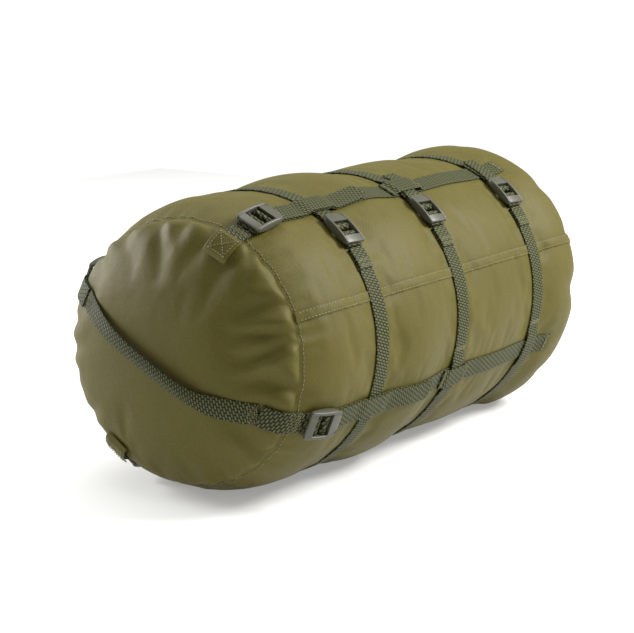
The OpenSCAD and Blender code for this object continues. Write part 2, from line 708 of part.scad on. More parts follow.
girth_strap(girth_a_s, false, GIRTH_TAILS[0], 0);  // girth_strap_a
girth_strap(girth_b_s, true, GIRTH_TAILS[1], tail_b_skew);  // girth_strap_b
girth_strap(girth_c_s, true, GIRTH_TAILS[2], tail_c_skew);  // girth_strap_c

long_strap(strap_1_a, 2, STRAP_TAILS[0]);  // long_strap_1
long_strap(strap_2_a, 1, STRAP_TAILS[1]);  // long_strap_2
long_strap(strap_3_a, 1, STRAP_TAILS[2]);  // long_strap_3
long_strap(strap_4_a, 1, STRAP_TAILS[3]);  // long_strap_4

ladder_lock(girth_frame(girth_a_s));  // ladder_lock_a
ladder_lock(girth_frame(girth_b_s));  // ladder_lock_b
ladder_lock(girth_frame(girth_c_s));  // ladder_lock_c
ladder_lock(strap_frame(strap_1_a));  // ladder_lock_1
ladder_lock(strap_frame(strap_2_a));  // ladder_lock_2
ladder_lock(strap_frame(strap_3_a));  // ladder_lock_3
ladder_lock(strap_frame(strap_4_a));  // ladder_lock_4

threading(girth_frame(girth_a_s));  // threading_a
threading(girth_frame(girth_b_s));  // threading_b
threading(girth_frame(girth_c_s));  // threading_c
threading(strap_frame(strap_1_a));  // threading_1
threading(strap_frame(strap_2_a));  // threading_2
threading(strap_frame(strap_3_a));  // threading_3
threading(strap_frame(strap_4_a));  // threading_4

anchor_loop(girth_frame(girth_a_s));  // anchor_loop_a
anchor_loop(girth_frame(girth_b_s));  // anchor_loop_b
anchor_loop(girth_frame(girth_c_s));  // anchor_loop_c
anchor_loop(strap_frame(strap_1_a));  // anchor_loop_1
anchor_loop(strap_frame(strap_2_a));  // anchor_loop_2
anchor_loop(strap_frame(strap_3_a));  // anchor_loop_3
anchor_loop(strap_frame(strap_4_a));  // anchor_loop_4

anchor(strap_1_a);  // anchor_1
anchor(strap_2_a);  // anchor_2
anchor(strap_3_a);  // anchor_3
anchor(strap_4_a);  // anchor_4
anchor_patch(strap_1_a);  // anchor_patch_1
anchor_patch(strap_3_a);  // anchor_patch_3

keeper(strap_1_a, 2, 8);  // keeper_1
keeper(strap_2_a, 1, 0);  // keeper_2
keeper(strap_3_a, 1, 0);  // keeper_3
keeper(strap_4_a, 1, 0);  // keeper_4

carry_handle();
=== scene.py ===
# Compression stuff sack, packed and lying on its side.
# The bottom panel is at -X, the gathered mouth at +X, and girth straps A, B and C and the
# lengthwise straps 1 to 4 hold the load. Sizes below are in millimetres, meshes in metres.
import math

import bmesh
import bpy
import numpy as np
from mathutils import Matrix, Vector


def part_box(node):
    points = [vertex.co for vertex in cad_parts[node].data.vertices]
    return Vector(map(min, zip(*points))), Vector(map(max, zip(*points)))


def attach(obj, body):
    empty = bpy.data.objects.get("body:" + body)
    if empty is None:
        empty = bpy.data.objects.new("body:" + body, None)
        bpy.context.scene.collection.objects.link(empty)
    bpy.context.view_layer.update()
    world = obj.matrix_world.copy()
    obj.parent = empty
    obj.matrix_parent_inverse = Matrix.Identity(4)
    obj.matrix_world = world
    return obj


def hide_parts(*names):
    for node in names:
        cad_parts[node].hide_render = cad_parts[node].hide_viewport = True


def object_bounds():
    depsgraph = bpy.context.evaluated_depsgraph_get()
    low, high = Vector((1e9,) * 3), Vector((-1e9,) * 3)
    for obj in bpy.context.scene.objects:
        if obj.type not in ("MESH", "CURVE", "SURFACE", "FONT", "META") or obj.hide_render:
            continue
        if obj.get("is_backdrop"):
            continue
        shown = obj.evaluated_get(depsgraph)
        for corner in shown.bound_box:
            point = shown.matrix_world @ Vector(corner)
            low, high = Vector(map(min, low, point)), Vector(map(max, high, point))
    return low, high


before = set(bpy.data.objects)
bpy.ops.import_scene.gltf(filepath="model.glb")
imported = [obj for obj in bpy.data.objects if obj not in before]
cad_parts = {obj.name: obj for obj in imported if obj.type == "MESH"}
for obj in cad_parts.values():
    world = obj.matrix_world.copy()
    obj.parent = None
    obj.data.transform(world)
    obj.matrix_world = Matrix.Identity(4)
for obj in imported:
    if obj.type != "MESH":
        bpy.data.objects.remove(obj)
cad_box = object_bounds()

# ---------------------------------------------------------------------------------------------
# Sack cloth: a tube with a round bottom panel, cut from coated plain-woven nylon
# The tube is closed by one side seam and its far end is gathered by a drawcord. Packed hard,
# the cloth swells between the straps and puckers where a seam or a strap holds it short.
girth_r = 134.5
seam_r = girth_r - 12.5
dome_l = 32.0
mouth_l = 68.0
mouth_square = 3.0
mouth_hole_r = 24.0
mouth_sink = 8.0
mouth_sink_r = 62.0
oval_panel, oval_mouth = 0.038, -0.004
lean_panel, lean_mouth = 7.0, 10.0
axis_z = girth_r - 5.0
GIRTHS = {"a": 105.0, "b": 246.0, "c": 398.0}
STRAPS = {"1": 25.0, "2": 112.0, "3": 213.0, "4": 294.0}
mouth_s = GIRTHS["c"] + 42.0
web_w, web_t, gap = 20.0, 1.4, 0.4
layer = web_t + gap
seat = web_w / 2 + 2
web_a = math.degrees(math.asin(web_w / 2 / girth_r))
side_seam_a = 68.0

# The panel's seam lies this far along X, measured from girth strap A, which stands square to X
strap_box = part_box("girth_strap_a")
seam_x = 500 * (strap_box[0][0] + strap_box[1][0]) - GIRTHS["a"]

# Radius of the tube at places along it: swells between seats that the girth straps press in
PROFILE = [(0, seam_r), (GIRTHS["a"] / 2, girth_r + 0.5)]
for g, swell, top_s in ((GIRTHS["a"], 5.5, (GIRTHS["a"] + GIRTHS["b"]) / 2),
                        (GIRTHS["b"], 2.0, (GIRTHS["b"] + GIRTHS["c"]) / 2),
                        (GIRTHS["c"], 3.5, mouth_s)):
    PROFILE += [(g - seat, girth_r), (g + seat, girth_r), (top_s, girth_r + swell)]


def ease(t):
    """From 0 to 1 with no corner at either end."""
    return (1 - np.cos(np.pi * np.clip(t, 0, 1))) / 2


def hump(v, centre, flat, ramp):
    """1 over a flat stretch, falling to 0 over a ramp on each side."""
    return 1 - ease((np.abs(v - centre) - flat) / ramp)


def tube_r(s):
    s = np.asarray(s, float)
    r = seam_r + (PROFILE[1][1] - seam_r) * np.sin(np.pi / 2 * np.clip(s / PROFILE[1][0], 0, 1))
    for (s0, r0), (s1, r1) in zip(PROFILE[1:], PROFILE[2:]):
        r = np.where(s > s0, r0 + (r1 - r0) * ease((s - s0) / (s1 - s0)), r)
    return r


# Arc length in from the seam against angle on the panel's half-ellipse
dome_f = np.radians(np.arange(0, 91, 2))
dome_q = np.concatenate([[0], np.cumsum([
    math.radians(2) * math.hypot(dome_l * math.cos(f - math.radians(1)),
                                 seam_r * math.sin(f - math.radians(1)))
    for f in dome_f[1:]])])


def on_panel(q, a, h):
    """Point h above the bottom panel, q in from the seam at angle a."""
    f = np.interp(q, dome_q, dome_f)
    nx, nr = np.sin(f) / dome_l, np.cos(f) / seam_r
    size = np.hypot(nx, nr)
    nx, nr, r = nx / size, nr / size, seam_r * np.cos(f)
    return np.stack(np.broadcast_arrays(
        seam_x - dome_l * np.sin(f) - h * nx + lean_panel * np.cos(a) * r / seam_r,
        -(r * (1 + oval_panel) + h * nr) * np.sin(a),
        axis_z + (r * (1 - oval_panel) + h * nr) * np.cos(a)), -1)


def on_tube(s, a, h):
    """Point h above the tube, s along from the panel's seam."""
    way = np.clip(s / GIRTHS["c"], 0, 1)
    oval = oval_panel + (oval_mouth - oval_panel) * way
    r = tube_r(s)
    rest = (layer + 0.2) * np.max([hump(s, g, seat, 14) for g in GIRTHS.values()], axis=0)
    z = axis_z + (r * (1 - oval) + h) * np.cos(a)
    return np.stack(np.broadcast_arrays(
        seam_x + s + (lean_panel + (lean_mouth - lean_panel) * way) * np.cos(a),
        -(r * (1 + oval) + h) * np.sin(a),
        np.maximum(z, rest - h)), -1)


def on_mouth(r, a, h):
    """Point h above the end that closes in to the mouth, at distance r from its middle."""
    full = girth_r + 3.5
    c = np.clip(r / full, 0, 1) ** (mouth_square / 2)
    e = 2 / mouth_square
    sink = mouth_sink * ease((mouth_sink_r - r) / (mouth_sink_r - mouth_hole_r))
    rr = (full + h) * c ** e
    return np.stack(np.broadcast_arrays(
        seam_x + mouth_s + (mouth_l + h) * np.sqrt(1 - c * c) ** e - sink
        + lean_mouth * np.cos(a) * c ** e,
        -rr * (1 + oval_mouth) * np.sin(a),
        np.maximum(axis_z + rr * (1 - oval_mouth) * np.cos(a), -h)), -1)


def along(points):
    """Length from the first of some points to each of them."""
    return np.concatenate([[0], np.cumsum(np.linalg.norm(np.diff(points, axis=0), axis=1))])


def grid_faces(first, last, across, closed=True):
    """Quads between rows first to last of a grid with so many points in a row."""
    return [(j * across + k, j * across + (k + 1) % across, (j + 1) * across + (k + 1) % across,
             (j + 1) * across + k)
            for j in range(first, last) for k in range(across if closed else across - 1)]


def on_sack(s, deg, h):
    """Point h above the cloth at s along it and deg degrees round; s below 0 is on the panel."""
    a = np.radians(deg)
    s, a, h = np.broadcast_arrays(np.asarray(s, float), a, h)
    return np.where((s < 0)[..., None], on_panel(np.maximum(-s, 0), a, h), on_tube(s, a, h))


def place_in_scene(name, data):
    obj = bpy.data.objects.new(name, data)
    bpy.context.scene.collection.objects.link(obj)
    return obj


def make_mesh(name, points, faces, uv=None):
    """Object at the origin from points in millimetres; uv is one pair in metres per corner."""
    mesh = bpy.data.meshes.new(name)
    mesh.from_pydata([tuple(p) for p in np.asarray(points, float) / 1000], [], faces)
    if uv is not None:
        layer_uv = mesh.uv_layers.new(name="cloth")
        layer_uv.data.foreach_set("uv", np.asarray(uv, np.float32).ravel())
    mesh.polygons.foreach_set("use_smooth", [True] * len(mesh.polygons))
    return place_in_scene(name, mesh)


def keep_modified(obj):
    """Makes the mesh that the modifiers give the object's own."""
    mesh = bpy.data.meshes.new_from_object(
        obj.evaluated_get(bpy.context.evaluated_depsgraph_get()))
    obj.modifiers.clear()
    obj.data = mesh
    mesh.name = obj.name


def belongs(obj, body, slot, *nodes):
    """The body an object rides on, its slot, which is not used, and the CAD nodes it stands for.
    """
    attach(obj, body)
    if nodes:
        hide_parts(*nodes)


# The grid of the tube: columns round it and rows along it, about 4.5 mm apart
cols = 192
col_deg = np.arange(cols) * 360 / cols
tube_rows = np.linspace(0, mouth_s, 97)
mouth_rows = np.concatenate([girth_r + 3.5 - 12 * np.linspace(0.12, 1, 6) ** 2,
                             np.linspace(121, mouth_hole_r - 1, 21)])
col_a = np.radians(col_deg)
grid = np.concatenate([
    [on_tube(s, col_a, 0.0) for s in tube_rows],
    [on_mouth(r, col_a, 0.0) for r in mouth_rows]])
rows = len(grid)
grid_s = np.concatenate([tube_rows, mouth_s + along(grid[len(tube_rows) - 1:, cols // 4])[1:]])

# The panel's grid is square inside and turns round towards its rim, where it meets the columns
half_n = cols // 8
pi_, pj_ = np.meshgrid(np.arange(-half_n, half_n + 1), np.arange(-half_n, half_n + 1),
                       indexing="ij")
big = np.maximum(np.abs(pi_), np.abs(pj_))
safe = np.maximum(big, 1)
panel_deg = np.where(
    np.abs(pi_) >= np.abs(pj_),
    np.where(pi_ >= 0, 0, 180) + 45 * pj_ / safe * np.where(pi_ >= 0, 1, -1),
    np.where(pj_ >= 0, 90, 270) - 45 * pi_ / safe * np.where(pj_ >= 0, 1, -1)) % 360
panel_q = dome_q[-1] * (1 - big / half_n)
panel = on_panel(panel_q, np.radians(panel_deg), 0.0)

# Puckers and folds. Each fold starts at the panel's seam: angle, half-width in degrees,
# length in from the seam and depth. The long ones pull in from the anchor webbing's ends.
PANEL_FOLDS = [(58, 2.4, 52, 3.6), (70, 1.7, 62, 6.4), (80, 1.8, 66, 6.8), (97, 2.6, 58, 4.6),
               (34, 2.4, 48, 4.5), (42, 1.8, 30, 3.2), (13, 2.4, 50, 3.2), (3, 1.5, 26, 2.4),
               (-8, 2.1, 58, 3.2), (-17, 1.5, 28, 2.2), (-27, 2.3, 50, 3.0), (-37, 1.9, 34, 2.4),
               (-48, 2.0, 30, 3.4), (128, 2.4, 52, 4.6), (140, 2.0, 34, 3.4), (153, 2.2, 40, 3.8),
               (236, 2.2, 48, 1.6), (252, 2.0, 38, 1.2), (268, 2.4, 52, 1.6), (281, 2.0, 34, 1.4)]
chance = np.random.default_rng(12)


def turned(deg, other):
    """Difference of two angles, from -180 to 180."""
    return (deg - other + 180) % 360 - 180


def panel_dent(q, deg):
    d = np.zeros(np.shape(q))
    for a0, half, length, depth in PANEL_FOLDS:
        wide = half * (1 + 1.6 * np.clip(q, 0, 1e3) / length)
        off = turned(deg, a0 + 3 * np.sin(q / 17 + a0))
        fall = np.clip(1 - q / length, 0, 1) ** 1.2 * ease((q + 1) / 5)
        off = off / wide
        d -= 1.4 * depth * fall * (np.exp(-off ** 2) - 0.55 * np.exp(-(off - 1.9) ** 2)
                                   - 0.45 * np.exp(-(off + 1.9) ** 2))
    return d


seam_waves = [(n, chance.uniform(0, 6.28), chance.uniform(0.5, 1)) for n in
              (23, 31, 37, 43, 52, 61, 74)]


def seam_dent(s, deg):
    """Short puckers that run from the panel's seam into the tube."""
    wave = sum(w * np.sin(np.radians(deg) * n + p) for n, p, w in seam_waves) / 2.6
    return 1.5 * wave * np.exp(-np.asarray(s) / 16) - 2.2 * np.exp(-np.asarray(s) / 7)


def girth_dent(s, deg):
    """Puckers beside each girth strap."""
    d = np.zeros(np.broadcast(s, deg).shape)
    for k, g in enumerate(GIRTHS.values()):
        away = np.abs(s - g) - seat
        side = np.sign(s - g)
        wave = sum(np.sin(np.radians(deg) * n + 2.4 * k + 1.7 * side + n)
                   for n in (19, 28, 41)) / 3
        d += 1.1 * wave * np.exp(-np.abs(away - 8) / 9) * (away > 0)
    return d


def side_dent(s, deg):
    """Small puckers that cross the side seam, and the seam's own slight valley."""
    off = turned(deg, side_seam_a) * girth_r * math.pi / 180
    wave = (np.sin(s / 2.9) + np.sin(s / 1.9 + 1) * 0.7 + np.sin(s / 4.6 + 2)) / 2.2
    ramp = ease((np.abs(off) - 4.5) / 4) * np.exp(-np.maximum(np.abs(off) - 6, 0) / 9)
    inside = ease(s / 12) * ease((mouth_s - s) / 20)
    return inside * (0.9 * wave * ramp - 0.9 * np.exp(-(off / 9) ** 2))


# Deep folds of the gathered end: angle, half-width in degrees, depth
MOUTH_FOLDS = [(92, 6, 17), (38, 5, 9), (4, 4.5, 8), (64, 4, 6), (126, 5, 9), (158, 5, 9),
               (196, 5, 8), (228, 5, 10), (262, 5, 9), (296, 5, 9), (330, 5, 9)]


def mouth_dent(way, deg):
    """way goes from 0 at girth strap C to 1 at the gathered hole."""
    d = np.zeros(np.broadcast(way, deg).shape)
    for a0, half, depth in MOUTH_FOLDS:
        off = turned(deg, a0 + 4 * np.sin(way * 5 + a0))
        grow = ease(way * 1.5 - 0.12) * (1 - 0.35 * way)
        d += depth * grow * (0.32 * np.exp(-(off / (3.2 * half)) ** 2)
                             - np.exp(-(off / (half * (1 - 0.35 * way))) ** 2))
    gathers = (np.sin(np.radians(deg) * 33 + 1) + 0.7 * np.sin(np.radians(deg) * 47 + 2.2)) / 1.7
    return d + 2.6 * gathers * ease(way * 1.6 - 0.6) + 3.2 * hump(way, 0.32, 0.1, 0.25)


def held(s, deg):
    """1 where webbing presses the cloth, 0 away from it."""
    deg = np.asarray(deg, float)
    straps = np.max([hump(turned(deg, a), 0, web_a, 1.6) for a in STRAPS.values()], axis=0)
    straps = straps * (s > -30) * (1 - ease((s - (GIRTHS["c"] + 34)) / 8))
    girths = np.max([hump(s, g, seat - 1, 4) for g in GIRTHS.values()], axis=0)
    return np.clip(np.maximum(straps, girths * (s > 0)), 0, 1)


def normals_of(points, faces):
    mesh = bpy.data.meshes.new("probe")
    mesh.from_pydata([tuple(p) for p in points], [], faces)
    n = np.empty(len(points) * 3, np.float32)
    mesh.vertices.foreach_get("normal", n)
    bpy.data.meshes.remove(mesh)
    return n.reshape(-1, 3)


# One mesh for the whole cloth: the tube's rows first, then the panel's inner points
tube_points = grid.reshape(-1, 3)
inner = big < half_n
panel_index = np.zeros(panel_deg.shape, int)
panel_index[inner] = len(tube_points) + np.arange(inner.sum())
rim = ~inner
panel_index[rim] = np.round(panel_deg[rim] / 360 * cols).astype(int) % cols
cloth_points = np.concatenate([tube_points, panel[inner]])
tube_faces = grid_faces(0, rows - 1, cols)
pn = 2 * half_n
panel_faces = [tuple(int(panel_index[at])
                     for at in ((i, j + 1), (i + 1, j + 1), (i + 1, j), (i, j)))
               for i in range(pn) for j in range(pn)]
cloth_faces = tube_faces + panel_faces
cloth_normals = normals_of(cloth_points, cloth_faces)

vert_s = np.concatenate([np.repeat(grid_s, cols), -panel_q[inner]])
vert_deg = np.concatenate([np.tile(col_deg, rows), panel_deg[inner]])
mouth_way = np.clip((vert_s - GIRTHS["c"] - seat) / (grid_s[-1] - GIRTHS["c"] - seat), 0, 1)
dent = np.where(vert_s < 0, panel_dent(-vert_s, vert_deg),
                seam_dent(vert_s, vert_deg) + girth_dent(vert_s, vert_deg)
                + side_dent(vert_s, vert_deg) + mouth_dent(mouth_way, vert_deg))
hold = held(vert_s, vert_deg)
on_floor = cloth_points[:, 2] < 2.5
dent = dent * (1 - hold)
dent[on_floor] = 0
cloth_start = cloth_points + cloth_normals * dent[:, None]
cloth_start[:, 2] = np.maximum(cloth_start[:, 2], 0.0)

cloth_end = cloth_start
# The cloth is cut a little larger than the shape it fills, and the load presses it out
soft = make_mesh("cloth_fill", cloth_start, cloth_faces)
pinned = np.clip(hold * 1.2, 0, 1)
pinned[on_floor] = 1
pinned[np.abs(vert_s) < 1] = 1
pinned[vert_s > grid_s[-1] - 10] = 1
pinned = np.maximum(pinned, np.clip(-dent / 4, 0, 0.85) * (vert_s < 0))
near = np.clip(np.exp(-np.abs(vert_s) / 30) + 0.6 * ease(mouth_way * 2), 0, 1)
for group_name, weights in (("pin", np.round(pinned, 2)), ("slack", np.round(near, 1))):
    group = soft.vertex_groups.new(name=group_name)
    for w in np.unique(weights):
        if w > 0.02:
            group.add([int(i) for i in np.where(weights == w)[0]], float(w), "REPLACE")
press = soft.modifiers.new("fill", "CLOTH")
frames = 16
press.point_cache.frame_start, press.point_cache.frame_end = 1, frames
for setting, value in {
        "quality": 4, "mass": 0.3, "tension_stiffness": 20, "compression_stiffness": 20,
        "shear_stiffness": 8, "bending_stiffness": 1.2, "use_pressure": True,
        "uniform_pressure_force": 3.0, "vertex_group_mass": "pin",
        "vertex_group_shrink": "slack", "shrink_min": -0.012, "shrink_max": -0.045}.items():
    setattr(press.settings, setting, value)
press.settings.effector_weights.gravity = 0
for step in range(1, frames + 1):
    bpy.context.scene.frame_set(step)
seen = soft.evaluated_get(bpy.context.evaluated_depsgraph_get())
moved = np.empty(len(cloth_points) * 3, np.float32)
seen.data.vertices.foreach_get("co", moved)
moved = moved.reshape(-1, 3) * 1000
soft.modifiers.remove(press)
bpy.data.objects.remove(soft)
bpy.context.scene.frame_set(1)
# No point of the cloth moves further than this
most = 7.0
shift = moved - cloth_start
far = np.linalg.norm(shift, axis=1, keepdims=True)
shift *= most * np.tanh(far / most) / np.maximum(far, 1e-6)
cloth_end = cloth_start + shift * (1 - pinned[:, None])
cloth_end[:, 2] = np.maximum(cloth_end[:, 2], 0.0)


def corner_uv(faces, flat_round, flat_along):
    """Uv pairs in metres for each corner, with the tube's last column joined to its first."""
    out = []
    for f in faces:
        u = [flat_round[i] for i in f]
        if max(u) - min(u) > 0.4:
            u = [x + 2 * math.pi * girth_r / 1000 if x < 0.4 else x for x in u]
        out += [(x, flat_along[i]) for x, i in zip(u, f)]
    return out


# The cloth goes on over the gathered hole: round the drawcord's tunnel, out to the ruffle's edge
# and back inside the tunnel. Each pair is a place along X and outwards from the tunnel's middle.
tunnel_r, ruffle_l = 3.8, 9.0
tunnel_x = 1000 * cad_box[1][0] - ruffle_l - tunnel_r
tunnel_mid_r = mouth_hole_r - tunnel_r - gap
HEM = [(2.2, 3.5), (3.8, 2.2), (4.4, 1.2), (5.6, 1.0), (7.0, 1.6), (8.6, 2.6), (10.4, 3.8),
       (12.0, 5.2), (12.6, 5.3), (12.3, 4.4), (10.6, 3.0), (8.8, 1.8), (7.0, 0.7), (5.0, -0.2),
       (3.4, -1.6), (1.8, -3.1), (-0.6, -3.6), (-2.9, -2.4), (-3.6, -0.2)]
flare = np.clip((np.array([x for x, _ in HEM]) - 3.6) / 8, 0, 1)
around_hem = (np.sin(24 * col_a + 0.6) + 0.55 * np.sin(31 * col_a + 2.0)
              + 0.4 * np.sin(13 * col_a + 4.0)) / 1.5
swing = (np.sin(17 * col_a + 1.0) + 0.6 * np.sin(29 * col_a)) / 1.4
hem = []
for (x, r), w in zip(HEM, flare):
    rr = tunnel_mid_r + r + around_hem * (0.35 + 2.0 * w)
    hem.append(np.stack([tunnel_x + x + swing * (0.25 + 1.5 * w) - 1.4 * w * np.cos(3 * col_a + 1),
                         -rr * np.sin(col_a), axis_z + rr * np.cos(col_a)], -1))
hem = np.array(hem)
hem_rows = len(hem)
hem_faces = grid_faces(rows - 1, rows - 1 + hem_rows, cols)
tube_end = np.concatenate([cloth_end[:rows * cols], hem.reshape(-1, 3)])
tube_faces = tube_faces + hem_faces
hem_v = grid_s[-1] + np.cumsum(np.concatenate([[4], np.hypot(*np.diff(HEM, axis=0).T)]))
tube_u = np.radians(np.concatenate([vert_deg[:rows * cols], np.tile(col_deg, hem_rows)])
                    ) * girth_r / 1000
tube_v = np.concatenate([vert_s[:rows * cols], np.repeat(hem_v, cols)]) / 1000
from_middle = np.maximum(dome_q[-1] + vert_s, 0)
panel_u = -from_middle * np.sin(np.radians(vert_deg)) / 1000
panel_v = from_middle * np.cos(np.radians(vert_deg)) / 1000
tube_cloth = make_mesh("tube_cloth", tube_end, tube_faces,
                       corner_uv(tube_faces, tube_u, tube_v))
used = sorted({i for f in panel_faces for i in f})
place = {v: i for i, v in enumerate(used)}
panel_cloth = make_mesh("bottom_panel_cloth", cloth_end[used],
                        [tuple(place[i] for i in f) for f in panel_faces],
                        [(panel_u[i], panel_v[i]) for f in panel_faces for i in f])

# One round of subdivision takes the facets off
for obj in (tube_cloth, panel_cloth):
    fine = obj.modifiers.new("smooth", "SUBSURF")
    fine.levels = fine.render_levels = 1
    keep_modified(obj)


def colour(code):
    """Linear RGBA of an sRGB hex value."""
    parts = [int(code[i:i + 2], 16) / 255 for i in (1, 3, 5)]
    return *(c / 12.92 if c <= 0.04045 else ((c + 0.055) / 1.055) ** 2.4 for c in parts), 1.0


def plug(tree, node, inputs):
    """Sets inputs: each is a value, a socket to link from, or a node for its first socket."""
    for key, value in inputs.items():
        if isinstance(value, bpy.types.Node):
            value = value.outputs[0]
        if isinstance(value, bpy.types.NodeSocket):
            tree.links.new(value, node.inputs[key])
        else:
            node.inputs[key].default_value = value


def add(tree, kind, inputs=None, **settings):
    """Adds a node with its settings and inputs."""
    n = tree.nodes.new(kind)
    for key, value in settings.items():
        setattr(n, key, value)
    plug(tree, n, inputs or {})
    return n


def new_material(name):
    mat = bpy.data.materials.new(name)
    mat.use_nodes = True
    return mat, mat.node_tree, mat.node_tree.nodes["Principled BSDF"]


# Coated nylon, plain woven: the threads cross at 0.5 mm in the real cloth, which is too fine to
# show, so they are drawn 2 mm apart. Their raised crossings are painted lighter and the hollows
# between them darker, a painted highlight and painted shade on the weave. The coating behind
# gives a soft, broad shine.
nylon, tree, shader = new_material("coated_nylon")
uv = add(tree, "ShaderNodeUVMap", uv_map="cloth")
thread_pitch = 0.0020
turns = 2 * math.pi / thread_pitch
parts = add(tree, "ShaderNodeSeparateXYZ", {0: uv})
waves = []
for part in parts.outputs[:2]:
    wave = add(tree, "ShaderNodeMath", {0: part, 1: turns}, operation="MULTIPLY")
    waves.append(add(tree, "ShaderNodeMath", {0: wave}, operation="SINE"))
cross = add(tree, "ShaderNodeMath", {0: waves[0], 1: waves[1]}, operation="MULTIPLY")
where = add(tree, "ShaderNodeTexCoord").outputs["Object"]
cloudy = add(tree, "ShaderNodeTexNoise", {"Vector": where, "Scale": 9.0, "Detail": 4.0,
                                          "Roughness": 0.55})
slub = add(tree, "ShaderNodeTexNoise", {"Vector": uv, "Scale": 420.0, "Detail": 2.0})
ground = add(tree, "ShaderNodeMix", {0: cloudy, 6: colour("#4a4413"), 7: colour("#5a5320")},
             data_type="RGBA")
# Painted highlight and shade: the weave's raised crossings are drawn up to 1.22 times lighter and
# its hollows down to 0.74 times, as light falling across the threads would make them
weave_tone_and_highlight = add(tree, "ShaderNodeMapRange", {0: cross, 1: -1.0, 2: 1.0, 3: 0.74, 4: 1.22})
uneven = add(tree, "ShaderNodeMapRange", {0: slub, 1: 0.3, 2: 0.7, 3: 0.92, 4: 1.08})
weave_tone_and_highlight = add(tree, "ShaderNodeMath", {0: weave_tone_and_highlight, 1: uneven}, operation="MULTIPLY")
shade = add(tree, "ShaderNodeVectorMath", {0: ground.outputs[2], 3: weave_tone_and_highlight}, operation="SCALE")
crinkle = add(tree, "ShaderNodeTexNoise", {"Vector": where, "Scale": 38.0, "Detail": 5.0,
                                           "Roughness": 0.5})
soft_bump = add(tree, "ShaderNodeBump", {"Height": crinkle, "Distance": 0.0026, "Strength": 0.55})
weave_bump = add(tree, "ShaderNodeBump", {"Height": cross, "Distance": 0.00012, "Strength": 0.7,
                                          "Normal": soft_bump})
plug(tree, shader, {"Base Color": shade, "Normal": weave_bump, "Roughness": 0.55,
                    "Specular IOR Level": 0.2, "Sheen Weight": 0.05, "Sheen Roughness": 0.45,
                    "Sheen Tint": colour("#8f8a63")})

for obj, nodes in ((tube_cloth, ("body_tube", "mouth_end_1", "mouth_end_2", "mouth_end_3",
                                 "mouth_end_4", "mouth_hem")),
                   (panel_cloth, ("bottom_panel", "panel_seam"))):
    obj.data.materials.append(nylon)
    belongs(obj, "sack", "cloth", *nodes)

# ---------------------------------------------------------------------------------------------
# What is packed: a soft bag that fills the sack, seen only deep in the gathered mouth
# Its quilted shell lies just inside the cloth.
load_in = 17.0
load_cols = 72
load_a = np.radians(np.arange(load_cols) * 360 / load_cols)
load_rings = [on_panel(q, load_a, -load_in) for q in dome_q[-1] * np.linspace(0.985, 0.02, 16)]
load_rings += [on_tube(s, load_a, -load_in) for s in np.linspace(4, mouth_s, 40)]
load_rings += [on_mouth(r, load_a, -load_in) for r in np.linspace(128, 8, 22)]
for i, ring in enumerate(load_rings):
    middle = ring.mean(axis=0)
    quilt = 1 - 0.02 * (0.5 + 0.5 * math.cos(i * 0.9)) - 0.01 * np.cos(load_a * 14)[:, None]
    load_rings[i] = middle + (ring - middle) * quilt
load_points = np.concatenate(load_rings)
load_points[:, 2] = np.maximum(load_points[:, 2], 3.0)
last = len(load_rings) - 1
load_faces = [(a, d, c, b) for a, b, c, d in grid_faces(0, last, load_cols)]
load_faces += [tuple(range(load_cols)),
               tuple(last * load_cols + k for k in reversed(range(load_cols)))]
packed = make_mesh("packed_bag", load_points, load_faces)
bag_shell, tree, shader = new_material("quilted_polyester")
where = add(tree, "ShaderNodeTexCoord").outputs["Object"]
cloudy = add(tree, "ShaderNodeTexNoise", {"Vector": where, "Scale": 30.0})
ground = add(tree, "ShaderNodeMix", {0: cloudy, 6: colour("#3c4130"), 7: colour("#4b5140")},
             data_type="RGBA")
plug(tree, shader, {"Base Color": ground.outputs[2], "Roughness": 0.7})
packed.data.materials.append(bag_shell)
belongs(packed, "sack", "load", "packed_load")

# ---------------------------------------------------------------------------------------------
# Girth straps: 20 mm twill webbing of textured polypropylene, 1.4 mm thick
# Each runs once round the sack from its ladder lock, and its tail lies on the run. Straps B and
# C climb over the lengthwise straps, and strap A passes under them.

# Twill webbing: rows of light yarn float over dark ones in slanting dashes. The real floats are
# about 1 mm wide; they are drawn 2.7 mm apart so that they show.
twill, tree, shader = new_material("twill_webbing")
uv = add(tree, "ShaderNodeUVMap", uv_map="cloth")
parts = add(tree, "ShaderNodeSeparateXYZ", {0: uv})
row_pitch, dash_pitch, slant = 0.0027, 0.0050, 0.34
slanted = add(tree, "ShaderNodeMath", {0: parts, 1: slant, 2: parts.outputs[1]},
              operation="MULTIPLY_ADD")
row = add(tree, "ShaderNodeMath", {0: slanted, 1: 1 / row_pitch}, operation="MULTIPLY")
row_no = add(tree, "ShaderNodeMath", {0: row}, operation="FLOOR")
step_on = add(tree, "ShaderNodeMath", {0: row_no, 1: 0.37}, operation="MULTIPLY")
dash = add(tree, "ShaderNodeMath", {0: parts, 1: 1 / dash_pitch, 2: step_on},
           operation="MULTIPLY_ADD")
rises = []
for part, full, none in ((row, 0.16, 0.42), (dash, 0.26, 0.46)):
    off = add(tree, "ShaderNodeMath", {0: part}, operation="FRACT")
    off = add(tree, "ShaderNodeMath", {0: off, 1: 0.5}, operation="SUBTRACT")
    off = add(tree, "ShaderNodeMath", {0: off}, operation="ABSOLUTE")
    rises.append(add(tree, "ShaderNodeMapRange", {0: off, 1: full, 2: none, 3: 1.0, 4: 0.0},
                     interpolation_type="SMOOTHSTEP"))
floats = add(tree, "ShaderNodeMath", {0: rises[0], 1: rises[1]}, operation="MULTIPLY")
fuzz = add(tree, "ShaderNodeTexNoise", {"Vector": uv, "Scale": 900.0, "Detail": 3.0})
fuzzy = add(tree, "ShaderNodeMapRange", {0: fuzz, 1: 0.3, 2: 0.7, 3: 0.78, 4: 1.18})
